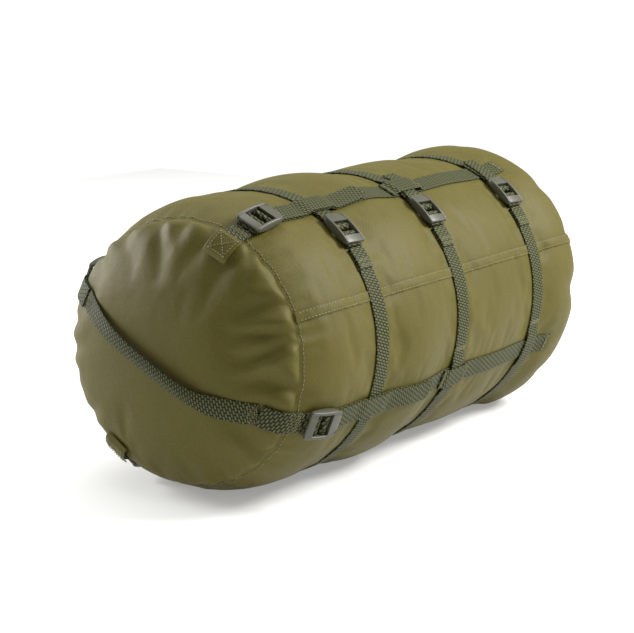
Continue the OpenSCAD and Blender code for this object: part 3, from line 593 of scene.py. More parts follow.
yarns = add(tree, "ShaderNodeMix", {0: floats, 6: colour("#12130a"), 7: colour("#585b34")},
            data_type="RGBA")
shade = add(tree, "ShaderNodeVectorMath", {0: yarns.outputs[2], 3: fuzzy}, operation="SCALE")
height = add(tree, "ShaderNodeMath", {0: fuzz, 1: 0.35, 2: floats}, operation="MULTIPLY_ADD")
raised = add(tree, "ShaderNodeBump", {"Height": height, "Distance": 0.00045, "Strength": 0.9})
plug(tree, shader, {"Base Color": shade, "Normal": raised, "Roughness": 0.62,
                    "Specular IOR Level": 0.16, "Sheen Weight": 0.02, "Sheen Roughness": 0.5})

# Across the webbing, as shares of its width and thickness: flat faces and rounded selvedges
SELVEDGE = [(-0.5, 0.5), (-0.492, 0.2), (-0.46, 0.02), (-0.3, 0.0), (0.0, 0.0), (0.3, 0.0),
            (0.46, 0.02), (0.492, 0.2), (0.5, 0.5), (0.492, 0.8), (0.46, 0.98), (0.3, 1.0),
            (0.0, 1.03), (-0.3, 1.0), (-0.46, 0.98), (-0.492, 0.8)]


def sweep(name, rings, us, vs, caps, material):
    """Closed skin through rings of points: us round it, vs along it, and caps over its ends."""
    m, last = len(rings[0]), len(rings) - 1
    faces = grid_faces(0, last, m)
    corner = [(us[k + b], vs[i + a]) for i in range(last) for k in range(m)
              for b, a in ((0, 0), (1, 0), (1, 1), (0, 1))]
    for ring, order in ((0, range(m)[::-1]), (last, range(m))):
        faces.append(tuple(ring * m + k for k in order))
        corner += [(caps[k][0], vs[ring] + caps[k][1]) for k in order]
    obj = make_mesh(name, np.concatenate(rings), faces, corner)
    check = bmesh.new()
    check.from_mesh(obj.data)
    if check.calc_volume(signed=True) < 0:
        bmesh.ops.reverse_faces(check, faces=check.faces)
        check.to_mesh(obj.data)
    check.free()
    obj.data.materials.append(material)
    return obj


def round_section(section, wide, high):
    """Length round a closed section, in metres, at each of its points and back at its start."""
    return along([(x * wide, z * high) for x, z in section + section[:1]]) / 1000


def ribbon(name, middles, sides, ups, width=web_w, thick=web_t, material=twill, start_v=0.0):
    """Webbing along the points of its lower face, with the way across it and up from it."""
    middles, sides, ups = (np.asarray(x, float) for x in (middles, sides, ups))
    widths = np.broadcast_to(width, len(middles))
    rings = [np.array([mid + side * w * x + up * thick * z for x, z in SELVEDGE])
             for mid, side, up, w in zip(middles, sides, ups, widths)]
    obj = sweep(name, rings, round_section(SELVEDGE, web_w, thick),
                start_v + along(middles) / 1000,
                [(x * web_w / 1000, z * thick / 1000) for x, z in SELVEDGE], material)
    edges = obj.modifiers.new("ends", "EDGE_SPLIT")
    edges.split_angle = math.radians(50)
    keep_modified(obj)
    return obj


def join(name, parts):
    """One object from several, with their materials kept."""
    whole = bmesh.new()
    mats = []
    for part in parts:
        for mat in part.data.materials:
            if mat not in mats:
                mats.append(mat)
    for part in parts:
        start = len(whole.faces)
        whole.from_mesh(part.data)
        whole.faces.ensure_lookup_table()
        shift = [mats.index(m) for m in part.data.materials]
        for f in whole.faces[start:]:
            f.material_index = shift[min(f.material_index, len(shift) - 1)]
    mesh = bpy.data.meshes.new(name)
    whole.to_mesh(mesh)
    whole.free()
    for mat in mats:
        mesh.materials.append(mat)
    for part in parts:
        bpy.data.objects.remove(part)
    return place_in_scene(name, mesh)


def unit(v):
    v = np.asarray(v, float)
    return v / np.linalg.norm(v, axis=-1, keepdims=True)


def turn_deg(length):
    """Degrees round the sack for a length of cloth under a girth strap."""
    return math.degrees(length / girth_r)


lock_l = 36.0
lock_half = lock_l / 2
girth_lock_a = STRAPS["1"] + turn_deg(35.5)
strap_lock_s = 29.0
fold_u, threading_end_u = -lock_half - 1.5, 12.0
girth_fold_a = girth_lock_a - turn_deg(fold_u - 0.5)
# Each tail's end, back from lengthwise strap 1, and how far it drifts to the side
GIRTH_TAILS = {"a": (turn_deg(7), 0.0), "b": (turn_deg(23.5), 14.0), "c": (turn_deg(16.5), 3.0)}


def girth_height(deg, over):
    """Height of a girth strap's lower face, which climbs over the lengthwise straps."""
    deg = np.asarray(deg, float)
    if not over:
        return np.full(deg.shape, gap)
    climb = [hump(turned(deg, a), 0, web_a + turn_deg(3.5), turn_deg(9.5))
             for a in STRAPS.values()]
    return gap + layer * np.max(climb, axis=0)


def between(left, right, out):
    """Middles of webbing from its two edges, the way across it and the way up, towards out."""
    mids, sides = (left + right) / 2, unit(right - left)
    ups = unit(np.cross(sides, unit(np.gradient(mids, axis=0))))
    return mids, sides, ups * np.sign(np.sum(ups * out, axis=1))[:, None]


def web_round(name, degs, s_mid, heights):
    """Webbing round the sack at angles degs, s_mid along it."""
    degs = np.asarray(degs, float)
    s_mid = np.broadcast_to(s_mid, degs.shape)
    left, right = (np.array([on_sack(s + x, d, h) for s, d, h in zip(s_mid, degs, heights)])
                   for x in (-web_w / 2, web_w / 2))
    out = ((left + right) / 2 - [0, 0, axis_z]) * [0, 1, 1]
    return ribbon(name, *between(left, right, out))


for name, s in GIRTHS.items():
    over = name != "a"
    run_a = girth_lock_a - turn_deg(threading_end_u - 1.5)
    tail_a = girth_lock_a - turn_deg(threading_end_u + 0.6)
    back, skew = GIRTH_TAILS[name]
    end_a = STRAPS["1"] - back
    run = np.linspace(girth_fold_a, 360 + run_a, 190)
    double = np.linspace(girth_fold_a, girth_fold_a + turn_deg(21), 8)
    tail = np.linspace(end_a, tail_a, 24)
    drift = skew * ease((tail_a - tail) / (tail_a - end_a))
    curl = 1.4 * np.clip(1 - (tail - end_a) / 3.5, 0, 1) ** 2
    strap = join("girth_webbing_" + name, [
        web_round("run", run, s + 0.35 * np.sin(np.radians(run) * 5 + s), girth_height(run, over)),
        web_round("double", double, s, np.full(8, gap + layer)),
        web_round("tail", tail, s + drift, girth_height(tail, over) + layer + curl)])
    belongs(strap, "sack", "webbing", "girth_strap_" + name)

# ---------------------------------------------------------------------------------------------
# Lengthwise straps: the same webbing, from a ladder lock at the bottom panel to past girth C
# They lie over girth strap A and under B and C, and their tails lie on them.
# How many layers of girth strap each lengthwise strap climbs over, and where its tail ends
STRAP_LAYERS = {"1": 2, "2": 1, "3": 1, "4": 1}
STRAP_TAILS = {"1": 173.0, "2": 193.0, "3": 160.0, "4": 166.0}
strap_end_s = GIRTHS["c"] + 38


def web_along(name, ss, deg, heights, width=web_w, material=twill, thick=web_t,
              round_end=False):
    """Webbing along the sack at angle deg."""
    ss, heights = np.asarray(ss, float), np.broadcast_to(heights, len(ss))
    half = math.degrees(math.asin(width / 2 / (seam_r if ss.max() < 30 else girth_r)))
    left, right = (np.array([on_sack(s, deg + x, h) for s, h in zip(ss, heights)])
                   for x in (-half, half))
    out = np.array([on_sack(s, deg, 10.0) - on_sack(s, deg, 0.0) for s in ss])
    widths = np.full(len(ss), float(width))
    if round_end:
        widths *= np.sqrt(np.clip(1 - np.clip(1 - (ss.max() - ss) / 2.2, 0, 1) ** 2, 0.55, 1))
    return ribbon(name, *between(left, right, out), widths, thick, material)


def strap_height(s, layers):
    """Height of a lengthwise strap's lower face, which climbs over girth strap A."""
    return gap + layer * layers * hump(np.asarray(s), GIRTHS["a"], web_w / 2 + 3, 14)


for name, deg in STRAPS.items():
    ss = np.linspace(strap_lock_s + threading_end_u - 1.5, strap_end_s, 110)
    end = STRAP_TAILS[name]
    ts = np.concatenate([np.linspace(strap_lock_s + threading_end_u + 0.6, end - 3, 50),
                         end - 3 + np.array([0.8, 1.5, 2.1, 2.6, 2.9, 3.0])])
    lifted = 1.8 * np.clip(1 - (end - ts) / 22, 0, 1) ** 2
    strap = join("lengthwise_webbing_" + name, [
        web_along("run", ss, deg + 0.12 * math.sin(deg), strap_height(ss, STRAP_LAYERS[name])),
        web_along("tail", ts, deg, strap_height(ts, STRAP_LAYERS[name]) + layer + lifted,
                  round_end=True)])
    belongs(strap, "sack", "webbing", "long_strap_" + name)

# Keepers: a loop of the same webbing sewn over each lengthwise strap, with girth strap B in it.
# The one on strap 1 is longer.
KEEPER_MORE = {"1": 9, "2": 0, "3": 0, "4": 0}
for name, deg in STRAPS.items():
    long = KEEPER_MORE[name]
    ss = np.linspace(GIRTHS["b"] - 23, GIRTHS["b"] + 23 + long, 40)
    h = gap + layer + layer * STRAP_LAYERS[name] * hump(
        ss, GIRTHS["b"] + long / 2, web_w / 2 + 2 + long / 2, 7)
    keeper = web_along("keeper_loop_" + name, ss, deg, h)
    belongs(keeper, "sack", "webbing", "keeper_" + name)

# ---------------------------------------------------------------------------------------------
# Ladder locks: moulded acetal, grey-green, with a fixed bar, an adjusting bar and a lip
# The side rails are arched and thick, with rounded outer edges. Each lock swings on the fold of
# its anchor webbing when its lip is lifted.

# Moulded acetal: a smooth satin skin with faint flow marks, and its sharp edges painted paler as a
# highlight
acetal, tree, shader = new_material("moulded_acetal")
where = add(tree, "ShaderNodeTexCoord").outputs["Object"]
flow = add(tree, "ShaderNodeTexNoise", {"Vector": where, "Scale": 60.0, "Detail": 3.0})
grain = add(tree, "ShaderNodeTexNoise", {"Vector": where, "Scale": 1600.0, "Detail": 2.0})
ground = add(tree, "ShaderNodeMix", {0: flow, 6: colour("#3b3b30"), 7: colour("#48483a")},
             data_type="RGBA")
# Painted highlight: convex edges, found by their pointiness, are drawn paler as if they caught the
# light
edge = add(tree, "ShaderNodeNewGeometry").outputs["Pointiness"]
edge_highlight_mask = add(tree, "ShaderNodeMapRange", {0: edge, 1: 0.5, 2: 0.62, 3: 0.0, 4: 0.5})
paler = add(tree, "ShaderNodeMix", {0: edge_highlight_mask, 6: ground.outputs[2], 7: colour("#626153")},
            data_type="RGBA")
skin_bump = add(tree, "ShaderNodeBump", {"Height": grain, "Distance": 0.00005, "Strength": 0.4})
plug(tree, shader, {"Base Color": paler.outputs[2], "Normal": skin_bump, "Roughness": 0.42,
                    "Specular IOR Level": 0.4})

adjust_u, bar_pitch, bar_r, bar_gap = 3.0, 9.5, 1.6, 0.15
anchor_u = adjust_u - bar_pitch
bar_w = gap + web_t + bar_gap + bar_r
wrap_r = bar_r + bar_gap + web_t / 2
rail_w, rail_in = 3.0, web_w / 2 + 0.5
plate_gap = wrap_r + web_t / 2 + 0.9
low_w, high_w = gap, gap + layer


def lock_frame(s, deg, girth):
    """Origin on the cloth, and the ways u along the webbing, v across it and w outwards."""
    o = on_sack(s, deg, 0.0)
    if girth:
        da = math.degrees(lock_half / float(tube_r(s)))
        u = unit(on_sack(s, deg - da, 0.0) - on_sack(s, deg + da, 0.0))
        side = np.array([1.0, 0, 0])
    else:
        u = unit(on_sack(s + lock_half, deg, 0.0) - on_sack(s - lock_half, deg, 0.0))
        side = np.array([0, -math.cos(math.radians(deg)), -math.sin(math.radians(deg))])
    w = unit(np.cross(side, u))
    return o, u, np.cross(w, u), w


def arch_top(u):
    return 9 - 1.8 * (u / lock_half) ** 2


def arch_low(u):
    return 1.1 + 2.6 * (u / lock_half) ** 2


def lock_mesh():
    """The lock in its own frame, in millimetres: rails, end plate, lip and two bars."""
    whole = bmesh.new()

    def strips(us, sides, low, high):
        """A solid from slices across u, each between two sides and from low to high."""
        loops = []
        for u in us:
            a, b = sides(u)
            lo, hi = low(u), high(u)
            c = min(0.9, (hi - lo) * 0.3, (b - a) * 0.3)
            d = c * 0.3
            ring = [(a + d, lo + d), (a + c, lo), (b - c, lo), (b - d, lo + d), (b, lo + c),
                    (b, hi - c), (b - d, hi - d), (b - c, hi), (a + c, hi), (a + d, hi - d),
                    (a, hi - c), (a, lo + c)]
            loops += [whole.verts.new((u, v, w)) for v, w in ring]
        n = len(ring)
        for f in grid_faces(0, len(us) - 1, n):
            whole.faces.new([loops[i] for i in f])
        whole.faces.new(loops[:n][::-1])
        whole.faces.new(loops[-n:])

    outer = rail_in + rail_w
    lip = adjust_u + plate_gap
    lip_l = lock_half - lip

    def half_width(u):
        t = np.clip((u - lip) / lip_l, 0, 1)
        end = np.clip((lock_half + min(u, 0)) / 2.2, 0, 1)
        return outer * (0.52 + 0.48 * (1 - t * t) ** 0.4) * (0.9 + 0.1 * math.sqrt(end))

    def tip(u):
        """Rounds the two ends of the lock off in thickness."""
        return 0.8 * (1 - math.sqrt(max(1 - max(0, (abs(u) - lock_half + 1.6) / 1.6) ** 2, 0)))

    rail_us = np.concatenate([np.linspace(-lock_half, -lock_half + 2, 6),
                              np.linspace(-15, lip, 18), np.linspace(lip, lock_half, 12)[1:]])
    for sgn in (-1, 1):
        strips(rail_us, lambda u: sorted((sgn * half_width(u),
                                          sgn * min(rail_in, half_width(u) - 1.6))),
               lambda u: arch_low(u) + tip(u), lambda u: arch_top(u) - tip(u))
    plates = [np.linspace(-lock_half + 0.3, anchor_u - plate_gap, 9),
              np.concatenate([np.linspace(lip, lock_half - 2, 10),
                              lock_half - 2 + np.array([0.8, 1.4, 1.8])])]
    for us in plates:
        strips(us, lambda u: (1.0 - half_width(u), half_width(u) - 1.0),
               lambda u: arch_top(u) - 2.7 + 0.6 * tip(u),
               lambda u: arch_top(u) - 0.45 - 0.6 * tip(u))
    for u0 in (anchor_u, adjust_u):
        made = bmesh.ops.create_cone(whole, cap_ends=True, segments=24, radius1=bar_r,
                                     radius2=bar_r, depth=2 * rail_in + 1)
        for v in made["verts"]:
            x, y, z = v.co
            v.co = (u0 + x, z, bar_w + y)
    bmesh.ops.recalc_face_normals(whole, faces=whole.faces)
    mesh = bpy.data.meshes.new("lock")
    whole.to_mesh(mesh)
    whole.free()
    return mesh


def in_frame(points, f):
    o, u, v, w = f
    p = np.asarray(points, float)
    return o + p[:, :1] * u + p[:, 1:2] * v + p[:, 2:3] * w


def web_path(name, path, f):
    """Webbing whose middle plane follows a path in the lock's u-w plane."""
    path = np.asarray(path, float)
    way = unit(np.gradient(path, axis=0))
    up = np.stack([-way[:, 1], way[:, 0]], -1)
    low = path - up * web_t / 2
    pts = in_frame(np.stack([low[:, 0], 0 * low[:, 0], low[:, 1]], -1), f)
    ups = up[:, :1] * f[1] + up[:, 1:] * f[3]
    return ribbon(name, pts, np.broadcast_to(f[2], pts.shape), ups, start_v=0.013)


leave_l = 8.0
mid_low, mid_high = low_w + web_t / 2, high_w + web_t / 2
leave_a = (math.degrees(math.atan2(mid_high - bar_w, leave_l))
           + math.degrees(math.acos(wrap_r / math.hypot(leave_l, mid_high - bar_w))))


def bar_turn(bar_u, way, start_u, end_u):
    """Path of webbing that comes in low, turns back over a bar and leaves high."""
    round_bar = np.radians([*np.linspace(-90, -270, 17), *np.linspace(90, leave_a, 3)])
    path = ([(4, mid_low), (1, mid_low)]
            + [(wrap_r * math.cos(t), bar_w + wrap_r * math.sin(t)) for t in round_bar]
            + [(leave_l * 0.6, (mid_high - bar_w) * 0.8 + bar_w + 0.35), (leave_l, mid_high)])
    return [(start_u, mid_low)] + [(bar_u + way * x, w) for x, w in path] + [(end_u, mid_high)]


lock_shape = lock_mesh()
FRAMES = {**{n: lock_frame(s, girth_lock_a, True) for n, s in GIRTHS.items()},
          **{n: lock_frame(strap_lock_s, a, False) for n, a in STRAPS.items()}}
for name, f in FRAMES.items():
    co = np.array([v.co for v in lock_shape.vertices])
    lock = make_mesh("ladder_lock_body_" + name, in_frame(co, f),
                     [tuple(p.vertices) for p in lock_shape.polygons])
    sharp = lock.modifiers.new("edges", "EDGE_SPLIT")
    sharp.split_angle = math.radians(48)
    keep_modified(lock)
    lock.data.materials.append(acetal)
    turn = web_path("strap_turn_" + name,
                    bar_turn(adjust_u, 1, threading_end_u - 2, threading_end_u), f)
    loop = web_path("anchor_turn_" + name, bar_turn(anchor_u, -1, fold_u + 0.3, fold_u + 0.3), f)
    for piece, node, kind in ((lock, "ladder_lock_", "plastic"), (turn, "threading_", "webbing"),
                              (loop, "anchor_loop_", "webbing")):
        belongs(piece, "lock_" + name, kind, node + name)

# ---------------------------------------------------------------------------------------------
# Anchors: doubled webbing from each lock over the panel's seam, sewn to the bottom panel
# Two of them end under a small patch of the sack's cloth, sewn down with a boxed cross.
anchor_in = 22.0
strap_fold_s = strap_lock_s + fold_u - 0.5
for name, deg in STRAPS.items():
    # Two of them run on to the carry handle's ends
    ss = np.linspace(strap_fold_s, -anchor_in - (5.2 if name in ("2", "4") else 0), 36)
    anchor = join("anchor_webbing_" + name, [
        web_along("low", ss, deg, gap), web_along("high", ss, deg, gap + layer)])
    belongs(anchor, "sack", "webbing", "anchor_" + name)


def cover_height(s):
    """Height of a patch, which comes down to the panel past its anchor's end."""
    return gap + 2 * layer - 2.2 * np.clip((-s - anchor_in + 1) / 5, 0, 1) ** 1.5


for name in ("1", "3"):
    ss = np.linspace(-4, -anchor_in - 4, 22)
    patch = web_along("anchor_cover_" + name, ss, STRAPS[name], cover_height(ss), width=26.0,
                      material=nylon, thick=0.8)
    belongs(patch, "sack", "cloth", "anchor_patch_" + name)

# ---------------------------------------------------------------------------------------------
# Carry handle: webbing across the bottom panel, folded lengthwise over its middle for the hand
# Its two ends lie flat where they are sewn at anchors 2 and 4.
handle_off, handle_fold_w = 9.0, 13.0
HANDLE = np.array([
    [0, 0, 0, 0], [0.06, 4, 0.08, 0], [0.13, 8, 0.3, 0], [0.20, 11, 0.6, 0.2],
    [0.26, 12, 0.85, 0.8], [0.34, 12, 1, 1], [0.44, 10.5, 1, 1], [0.55, 9, 1, 1],
    [0.66, 7.5, 1, 1], [0.76, 6, 0.9, 0.9], [0.85, 4, 0.65, 0.6], [0.93, 2, 0.3, 0.2],
    [1, 0, 0, 0]])


def over_panel(y, z, h):
    """Point h above the bottom panel at y and z from its middle, and the panel's outward way."""
    u, v = y / seam_r / (1 + oval_panel), z / seam_r / (1 - oval_panel)
    c = math.sqrt(max(1 - u * u - v * v, 0))
    n = unit([-c / dome_l, u / seam_r / (1 + oval_panel), v / seam_r / (1 - oval_panel)])
    return np.array([seam_x - dome_l * c + lean_panel * v, y, axis_z + z]) + h * n, n


def panel_place(deg):
    p = on_panel(anchor_in + 6, math.radians(deg), 0.0)
    return np.array([p[1], p[2] - axis_z])


first, last_end = panel_place(STRAPS["2"]), panel_place(STRAPS["4"])
way = last_end - first
down = unit([way[1], -way[0]])
share = np.linspace(0, 1, 90)
table = np.stack([np.interp(share, np.linspace(0, 1, len(HANDLE)), column)
                  for column in HANDLE.T], -1)
kernel = np.hanning(9) / np.hanning(9).sum()
for i in range(1, 4):
    padded_row = np.concatenate([np.full(4, table[0, i]), table[:, i], np.full(4, table[-1, i])])
    table[:, i] = np.convolve(padded_row, kernel, "valid")
table[0], table[-1] = HANDLE[0], HANDLE[-1]
lows, outs = [], []
for at, drop, off, _ in table:
    y, z = first + way * at + down * drop
    p, n = over_panel(y, z, gap + handle_off * off)
    lows.append(p)
    outs.append(n)
lows, outs = np.array(lows), np.array(outs)
run = unit(np.gradient(lows, axis=0))
across_h = unit(np.cross(outs, run))
fold = table[:, 3]
width = web_w + (handle_fold_w - web_w) * fold
# Folded lengthwise, the two halves lean on each other in a shallow roof
roof = 0.25 + 1.9 * fold
section = [(-1, 0), (-0.94, 0.42), (-0.5, 0.74), (-0.06, 1.0), (0.0, 1.02), (0.08, 0.9),
           (0.5, 0.62), (0.94, 0.34), (1, 0), (0.94, -0.3), (0.5, -0.3), (0, -0.3), (-0.5, -0.3),
           (-0.94, -0.3)]
twist = 0.16 * np.sin(share * 9) * fold
base = web_t * 0.42
rings = []
for i in range(len(lows)):
    side = across_h[i] * math.cos(twist[i]) + outs[i] * math.sin(twist[i])
    up = outs[i] * math.cos(twist[i]) - across_h[i] * math.sin(twist[i])
    high = web_t * (1 - fold[i]) * 0.55 + roof[i] * fold[i] * 0.9 + 0.3
    rings.append([lows[i] + side * width[i] / 2 * x
                  + up * (base + max((z if z > 0 else z * 0.9) * high, -base))
                  for x, z in section])
handle = sweep("carry_handle_webbing", rings, round_section(section, web_w / 2, web_t),
               along(lows) / 1000, [(x * web_w / 2000, 0) for x, _ in section], twill)
belongs(handle, "handle", "webbing", "carry_handle")

# ---------------------------------------------------------------------------------------------
# Drawcord and eyelets: a braided nylon cord in the tunnel, which comes to two rolled eyelets
# The eyelets are pressed brass with a dark finish, set in the tunnel's inner wall.

# Braided cord: slanting strands of dull dark yarn, 1.2 mm apart
braid, tree, shader = new_material("braided_cord")
where = add(tree, "ShaderNodeTexCoord").outputs["Object"]
strands = add(tree, "ShaderNodeTexWave", {"Vector": where, "Scale": 130.0, "Distortion": 1.5,
                                          "Detail": 2.0},
              bands_direction="DIAGONAL").outputs["Fac"]
yarn = add(tree, "ShaderNodeMix", {0: strands, 6: colour("#1d1f16"), 7: colour("#3d4030")},
           data_type="RGBA")
ridge = add(tree, "ShaderNodeBump", {"Height": strands, "Distance": 0.0003, "Strength": 0.8})
plug(tree, shader, {"Base Color": yarn.outputs[2], "Normal": ridge, "Roughness": 0.75})

# Pressed brass with a dark finish: worn a little paler in patches
brass, tree, shader = new_material("darkened_brass")
where = add(tree, "ShaderNodeTexCoord").outputs["Object"]
patches = add(tree, "ShaderNodeTexNoise", {"Vector": where, "Scale": 350.0, "Detail": 4.0})
tone = add(tree, "ShaderNodeMix", {0: patches, 6: colour("#4b4330"), 7: colour("#8a7c58")},
           data_type="RGBA")
scratch = add(tree, "ShaderNodeBump", {"Height": patches, "Distance": 0.00008, "Strength": 0.5})
plug(tree, shader, {"Base Color": tone.outputs[2], "Normal": scratch, "Metallic": 1.0,
                    "Roughness": 0.42})
for node, finish in (("drawcord", braid), ("eyelets", brass)):
    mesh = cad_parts[node].data
    mesh.materials.clear()
    mesh.materials.append(finish)

# ---------------------------------------------------------------------------------------------
# Side seam: the tube's edges felled together, a flat band about 10 mm wide
# Two rows of stitches hold it down, and the cloth puckers between and beside them.
end_grid = cloth_end[:rows * cols].reshape(rows, cols, 3)
end_out = normals_of(cloth_end, cloth_faces)[:rows * cols].reshape(rows, cols, 3)


def on_cloth(row, deg, h):
    """Point h above the finished cloth of the tube, at a row of its grid that may be a share."""
    j, k = int(row), deg / 360 * cols
    j1, k0, k1 = min(j + 1, rows - 1), int(k) % cols, (int(k) + 1) % cols
    a, b = row - j, k - int(k)
    p, n = ((1 - a) * ((1 - b) * g[j, k0] + b * g[j, k1])
            + a * ((1 - b) * g[j1, k0] + b * g[j1, k1]) for g in (end_grid, end_out))
    return p + unit(n) * h


# Across the band, from edge to edge: share of its half-width, and height
SEAM_SECTION = [(-1, -0.4), (-0.97, 0.45), (-0.82, 0.35), (-0.5, 0.75), (0, 0.85), (0.5, 0.75),
                (0.82, 0.35), (0.97, 0.5), (1, -0.4)]


def seam_width(row):
    """Radius of the sack at a row, and half the seam's width there, narrower near the mouth."""
    r = float(np.linalg.norm((on_cloth(row, side_seam_a, 0) - [0, 0, axis_z])[1:]))
    return r, 5.0 * min(1, r / 90 + 0.25)


seam_rows = np.arange(0.5, rows - 7.5, 0.5)
seam_v = along([on_cloth(row, side_seam_a, 0) for row in seam_rows])
band_points, band_uv = [], []
for row, band_v in zip(seam_rows, seam_v):
    r, half = seam_width(row)
    scallop = 0.55 * math.sin(band_v / 1.75) + 0.35 * math.sin(band_v / 1.1 + 1)
    for x, h in SEAM_SECTION:
        deg = side_seam_a + math.degrees((x * half + (scallop * 0.5 if abs(x) > 0.9 else 0)) / r)
        band_points.append(on_cloth(row, deg,
                                    0.35 + h + (0.3 * scallop if abs(x) < 0.7 else 0)))
        band_uv.append((x * half / 1000, band_v / 1000))
band_faces = grid_faces(0, len(seam_rows) - 1, len(SEAM_SECTION), closed=False)
seam_band = make_mesh("side_seam_band", band_points, band_faces,
                      [band_uv[i] for f in band_faces for i in f])
seam_band.data.materials.append(nylon)
belongs(seam_band, "sack", "cloth", "side_seam")

# ---------------------------------------------------------------------------------------------
# Stitches: bonded polyester thread, one row round the panel, two down the side seam, and boxed
# crosses and bar tacks where webbing is sewn down. Each stitch is a short plump lozenge.

# Bonded polyester thread: a dull twisted yarn, a little paler than the cloth
thread_mat, tree, shader = new_material("bonded_thread")
where = add(tree, "ShaderNodeTexCoord").outputs["Object"]
twist_of = add(tree, "ShaderNodeTexWave", {"Vector": where, "Scale": 500.0, "Distortion": 2.0},
               bands_direction="DIAGONAL")
tone = add(tree, "ShaderNodeMix", {0: twist_of.outputs["Fac"], 6: colour("#5c5836"),
                                   7: colour("#8d8861")}, data_type="RGBA")
plug(tree, shader, {"Base Color": tone.outputs[2], "Roughness": 0.6})

sewing = bpy.data.node_groups.new("sewing", "GeometryNodeTree")
face_of = sewing.interface
face_of.new_socket("Geometry", in_out="INPUT", socket_type="NodeSocketGeometry")
SEW = {}
for label, first_value in (("Pitch", 0.0032), ("Stitch length", 0.0026), ("Thread width", 0.0006)):
    socket = face_of.new_socket(label, in_out="INPUT", socket_type="NodeSocketFloat")
    socket.default_value = first_value
    SEW[label] = socket.identifier
face_of.new_socket("Geometry", in_out="OUTPUT", socket_type="NodeSocketGeometry")
given = add(sewing, "NodeGroupInput").outputs
line = add(sewing, "GeometryNodeMeshToCurve", {"Mesh": given["Geometry"]})
places = add(sewing, "GeometryNodeCurveToPoints", {"Curve": line, "Length": given["Pitch"]},
             mode="LENGTH")
bead = add(sewing, "GeometryNodeMeshUVSphere", {"Segments": 6, "Rings": 4, "Radius": 0.5})
size = add(sewing, "ShaderNodeCombineXYZ", {0: given["Thread width"], 1: given["Thread width"],
                                            2: given["Stitch length"]})
laid = add(sewing, "GeometryNodeInstanceOnPoints", {
    "Points": places, "Instance": bead, "Rotation": places.outputs["Rotation"], "Scale": size})
real = add(sewing, "GeometryNodeRealizeInstances", {"Geometry": laid})
dyed = add(sewing, "GeometryNodeSetMaterial", {"Geometry": real, "Material": thread_mat})
add(sewing, "NodeGroupOutput", {"Geometry": dyed})


def sew(name, body, slot, runs, pitch, long, thread):
    """Stitches along polylines in millimetres, as one plain mesh."""
    points, edges = [], []
    for run in runs:
        first_at = len(points)
        points += [tuple(np.asarray(p, float) / 1000) for p in run]
        edges += [(i, i + 1) for i in range(first_at, len(points) - 1)]
    mesh = bpy.data.meshes.new(name)
    mesh.from_pydata(points, edges, [])
    obj = place_in_scene(name, mesh)
    mod = obj.modifiers.new("sewing", "NODES")
    mod.node_group = sewing
    for label, value in (("Pitch", pitch), ("Stitch length", long), ("Thread width", thread)):
        mod[SEW[label]] = value / 1000
    keep_modified(obj)
    obj.data.polygons.foreach_set("use_smooth", [True] * len(obj.data.polygons))
    belongs(obj, body, slot)


def clear_of_webbing(row, deg, extra=1.5):
    """False where webbing covers the cloth."""
    s, keep_off, mm_per_degree = grid_s[int(row)], web_w / 2 + extra, 2.35
    return (all(abs(s - g) > keep_off for g in GIRTHS.values())
            and (all(abs(turned(deg, a)) * mm_per_degree > keep_off for a in STRAPS.values())
                 or s > strap_end_s + 2))


def split_runs(places, keep):
    """Breaks a row of places wherever keep is False."""
    runs, now = [], []
    for at, ok in zip(places, keep):
        if ok:
            now.append(at)
        elif now:
            runs.append(now)
            now = []
    return [r for r in runs + [now] if len(r) > 1]


degs = np.arange(0, 360.5, 0.75)
seam_rings = split_runs([on_cloth(0.75, d % 360, 0.3) for d in degs],
                        [clear_of_webbing(0.75, d) for d in degs])
sew("panel_seam_stitches", "sack", "cloth", seam_rings, pitch=3.8, long=2.7, thread=0.85)

side_runs = []
for x in (-0.7, 0.7):
    at, ok = [], []
    for row in seam_rows[2:]:
        r, half = seam_width(row)
        at.append(on_cloth(row, side_seam_a + math.degrees(x * half / r), 1.0))
        ok.append(clear_of_webbing(row, side_seam_a, 1.0))
    side_runs += split_runs(at, ok)
sew("side_seam_stitches", "sack", "cloth", side_runs, pitch=3.4, long=2.4, thread=0.8)


def web_place(s, x, deg, h):
    """Point over the sack, x to the side of webbing that runs along it at deg."""
    r = seam_r if s < 20 else girth_r
    return on_sack(s, deg + math.degrees(x / r), h)


def box_cross(deg, s0, s1, half, h):
    """Boxed cross between s0 and s1, half each side of the middle; h is the height at each s."""
    n = 10
    ss, xs = np.linspace(s0, s1, n), np.linspace(-half, half, n)
    return ([[web_place(s, x, deg, h(s)) for s in ss] for x in (-half, half)]
            + [[web_place(s, x, deg, h(s)) for x in xs] for s in (s0, s1)]
            + [[web_place(s, x * f, deg, h(s)) for s, x in zip(ss, xs)] for f in (-1, 1)])


cover_runs = []
for name in ("1", "3"):
    cover_runs += box_cross(STRAPS[name], -6.5, -21.5, 9.5, lambda s: cover_height(s) + 0.95)
sew("anchor_cover_stitches", "sack", "cloth", cover_runs, pitch=2.7, long=2.0, thread=0.8)


def bar_tack(place, n, step):
    """Close rows across a webbing: place(x, t) gives a point x across and t along."""
    return [[place(x, step * i) for x in np.linspace(-7.5, 7.5, 12)] for i in range(n)]


